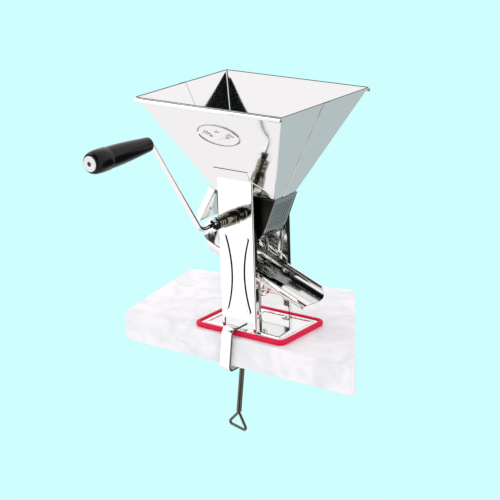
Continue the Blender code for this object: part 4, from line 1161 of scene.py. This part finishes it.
def makeSlab():
    # polished slab; its ends run back at a slant, its long edges are eased
    material, tree, shader, place = newMaterial("honedPaleMarble", "D6D6DA", 0.0, 0.30)
    cloud = addNode(tree, "ShaderNodeTexNoise", links={"Vector": place, "Scale": 1 / (45 * mm),
                                                       "Detail": 9.0, "Distortion": 1.2})
    ramp = addNode(tree, "ShaderNodeValToRGB", links={"Fac": cloud.outputs["Fac"]})
    ramp.color_ramp.elements[0].position = 0.36
    ramp.color_ramp.elements[0].color = linearOf("E9EBEE")
    ramp.color_ramp.elements[1].position = 0.60
    ramp.color_ramp.elements[1].color = linearOf("FBF9FA")
    tree.links.new(ramp.outputs["Color"], shader.inputs["Base Color"])
    corners = np.array(stage["corners"])
    side = unit(np.roll(corners, -1, axis=0) - corners)
    inwards = np.stack([-side[:, 1], side[:, 0]], -1)
    before = np.roll(inwards, 1, axis=0)
    shift = (inwards + before) / (1.0 + np.sum(inwards * before, axis=1, keepdims=True))
    edge = stage["edge"]
    swings = np.linspace(0.0, math.pi / 2.0, 6)
    levels = [(edge * (1 - math.sin(s)), -0.05 * mm - edge * (1 - math.cos(s))) for s in swings]
    levels += [(edge * (1 - math.sin(s)), -stage["thick"] + edge * (1 - math.cos(s)))
               for s in swings[::-1]]
    loops = []
    for inward, z in levels:
        flat = corners + shift * inward
        loop = np.concatenate([rounded([flat[k - 1] * 0.5 + flat[k] * 0.5, flat[k],
                                        flat[k] * 0.5 + flat[(k + 1) % 4] * 0.5],
                                       stage["corner"], 6)[1:] for k in range(4)])
        loops.append(np.column_stack([loop, np.full(len(loop), z)]))
    grid = np.array(loops)
    count, size = grid.shape[:2]
    faces = gridFaces(count, size, False, True).tolist()
    faces.append(list(range(size)))
    faces.append(list(range((count - 1) * size, count * size)))
    mesh = bpy.data.meshes.new("slab")
    mesh.from_pydata(grid.reshape(-1, 3).tolist(), [], faces)
    work = bmesh.new()
    work.from_mesh(mesh)
    bmesh.ops.recalc_face_normals(work, faces=work.faces)
    work.to_mesh(mesh)
    work.free()
    mesh.materials.append(material)
    mesh.shade_smooth()
    mesh.set_sharp_from_angle(angle=math.radians(40))
    slab = bpy.data.objects.new("slab", mesh)
    bpy.context.collection.objects.link(slab)


makeSlab()

# the room as the polished steel sees it: colour, direction, half angle, softness, later on top
room = {"pale": "E9E6E8", "seen": "CEFEFE", "mirror": 1.30, "fill": 1.0, "fillColour": "FBF9FC",
        "cards": [("FFFFFF", (-0.576, -0.757, -0.309), 35.0, 10.0),
                  ("E6E3E5", (-0.40, 0.0, -0.90), 40.0, 12.0),
                  ("A9B4B6", (0.15, 0.62, -0.77), 44.0, 12.0),
                  ("0B0E10", (0.30, -0.55, 0.78), 40.0, 5.0),
                  ("0C1012", (0.50, -0.83, -0.22), 30.0, 5.0),
                  ("1C1E1A", (0.576, 0.757, -0.309), 24.0, 6.0)]}


def makeRoom():
    world = bpy.data.worlds.new("room")
    world.use_nodes = True
    tree = world.node_tree
    tree.nodes.clear()
    place = addNode(tree, "ShaderNodeTexCoord").outputs["Generated"]
    colour = None
    for shade, direction, half, soft in room["cards"]:
        towards = tuple(unit(np.array(direction)).tolist())
        dot = addNode(tree, "ShaderNodeVectorMath", {"operation": "DOT_PRODUCT"},
                      {0: place, 1: towards})
        inside = addNode(tree, "ShaderNodeMapRange", {"interpolation_type": "SMOOTHSTEP"},
                         {"Value": dot.outputs["Value"],
                          "From Min": math.cos(math.radians(half + soft)),
                          "From Max": math.cos(math.radians(half - soft))})
        below = linearOf(room["pale"]) if colour is None else colour
        colour = addNode(tree, "ShaderNodeMix", {"data_type": "RGBA"},
                         {0: inside.outputs["Result"], 6: below, 7: linearOf(shade)}).outputs[2]
    ray = addNode(tree, "ShaderNodeLightPath")
    mirrored = addNode(tree, "ShaderNodeBackground", links={"Color": colour,
                                                            "Strength": room["mirror"]})
    fill = addNode(tree, "ShaderNodeBackground", links={"Color": linearOf(room["fillColour"]),
                                                        "Strength": room["fill"]})
    plain = addNode(tree, "ShaderNodeBackground", links={"Color": linearOf(room["seen"]),
                                                         "Strength": 1.0})
    lit = addNode(tree, "ShaderNodeMixShader", links={0: ray.outputs["Is Diffuse Ray"],
                                                      1: mirrored.outputs[0],
                                                      2: fill.outputs[0]})
    both = addNode(tree, "ShaderNodeMixShader", links={0: ray.outputs["Is Camera Ray"],
                                                       1: lit.outputs[0], 2: plain.outputs[0]})
    addNode(tree, "ShaderNodeOutputWorld", links={"Surface": both.outputs[0]})
    bpy.context.scene.world = world


makeRoom()

lamps = {"key": {"at": (-1.2, -0.4, 1.7), "size": 0.9, "power": 5.0}}


def makeLamps():
    for name, lamp in lamps.items():
        data = bpy.data.lights.new(name, "AREA")
        data.size = lamp["size"]
        data.energy = lamp["power"]
        made = bpy.data.objects.new(name, data)
        bpy.context.collection.objects.link(made)
        at = np.array(lamp["at"])
        along, side, up = axisFrame(at - np.array([0.0, 0.0, 0.15]))
        matrix = np.eye(4)
        matrix[:3, 0] = side
        matrix[:3, 1] = up
        matrix[:3, 2] = along
        matrix[:3, 3] = at
        made.matrix_world = Matrix(matrix.tolist())


makeLamps()
bpy.context.scene.view_settings.view_transform = "Standard"
print("stage and light ready")
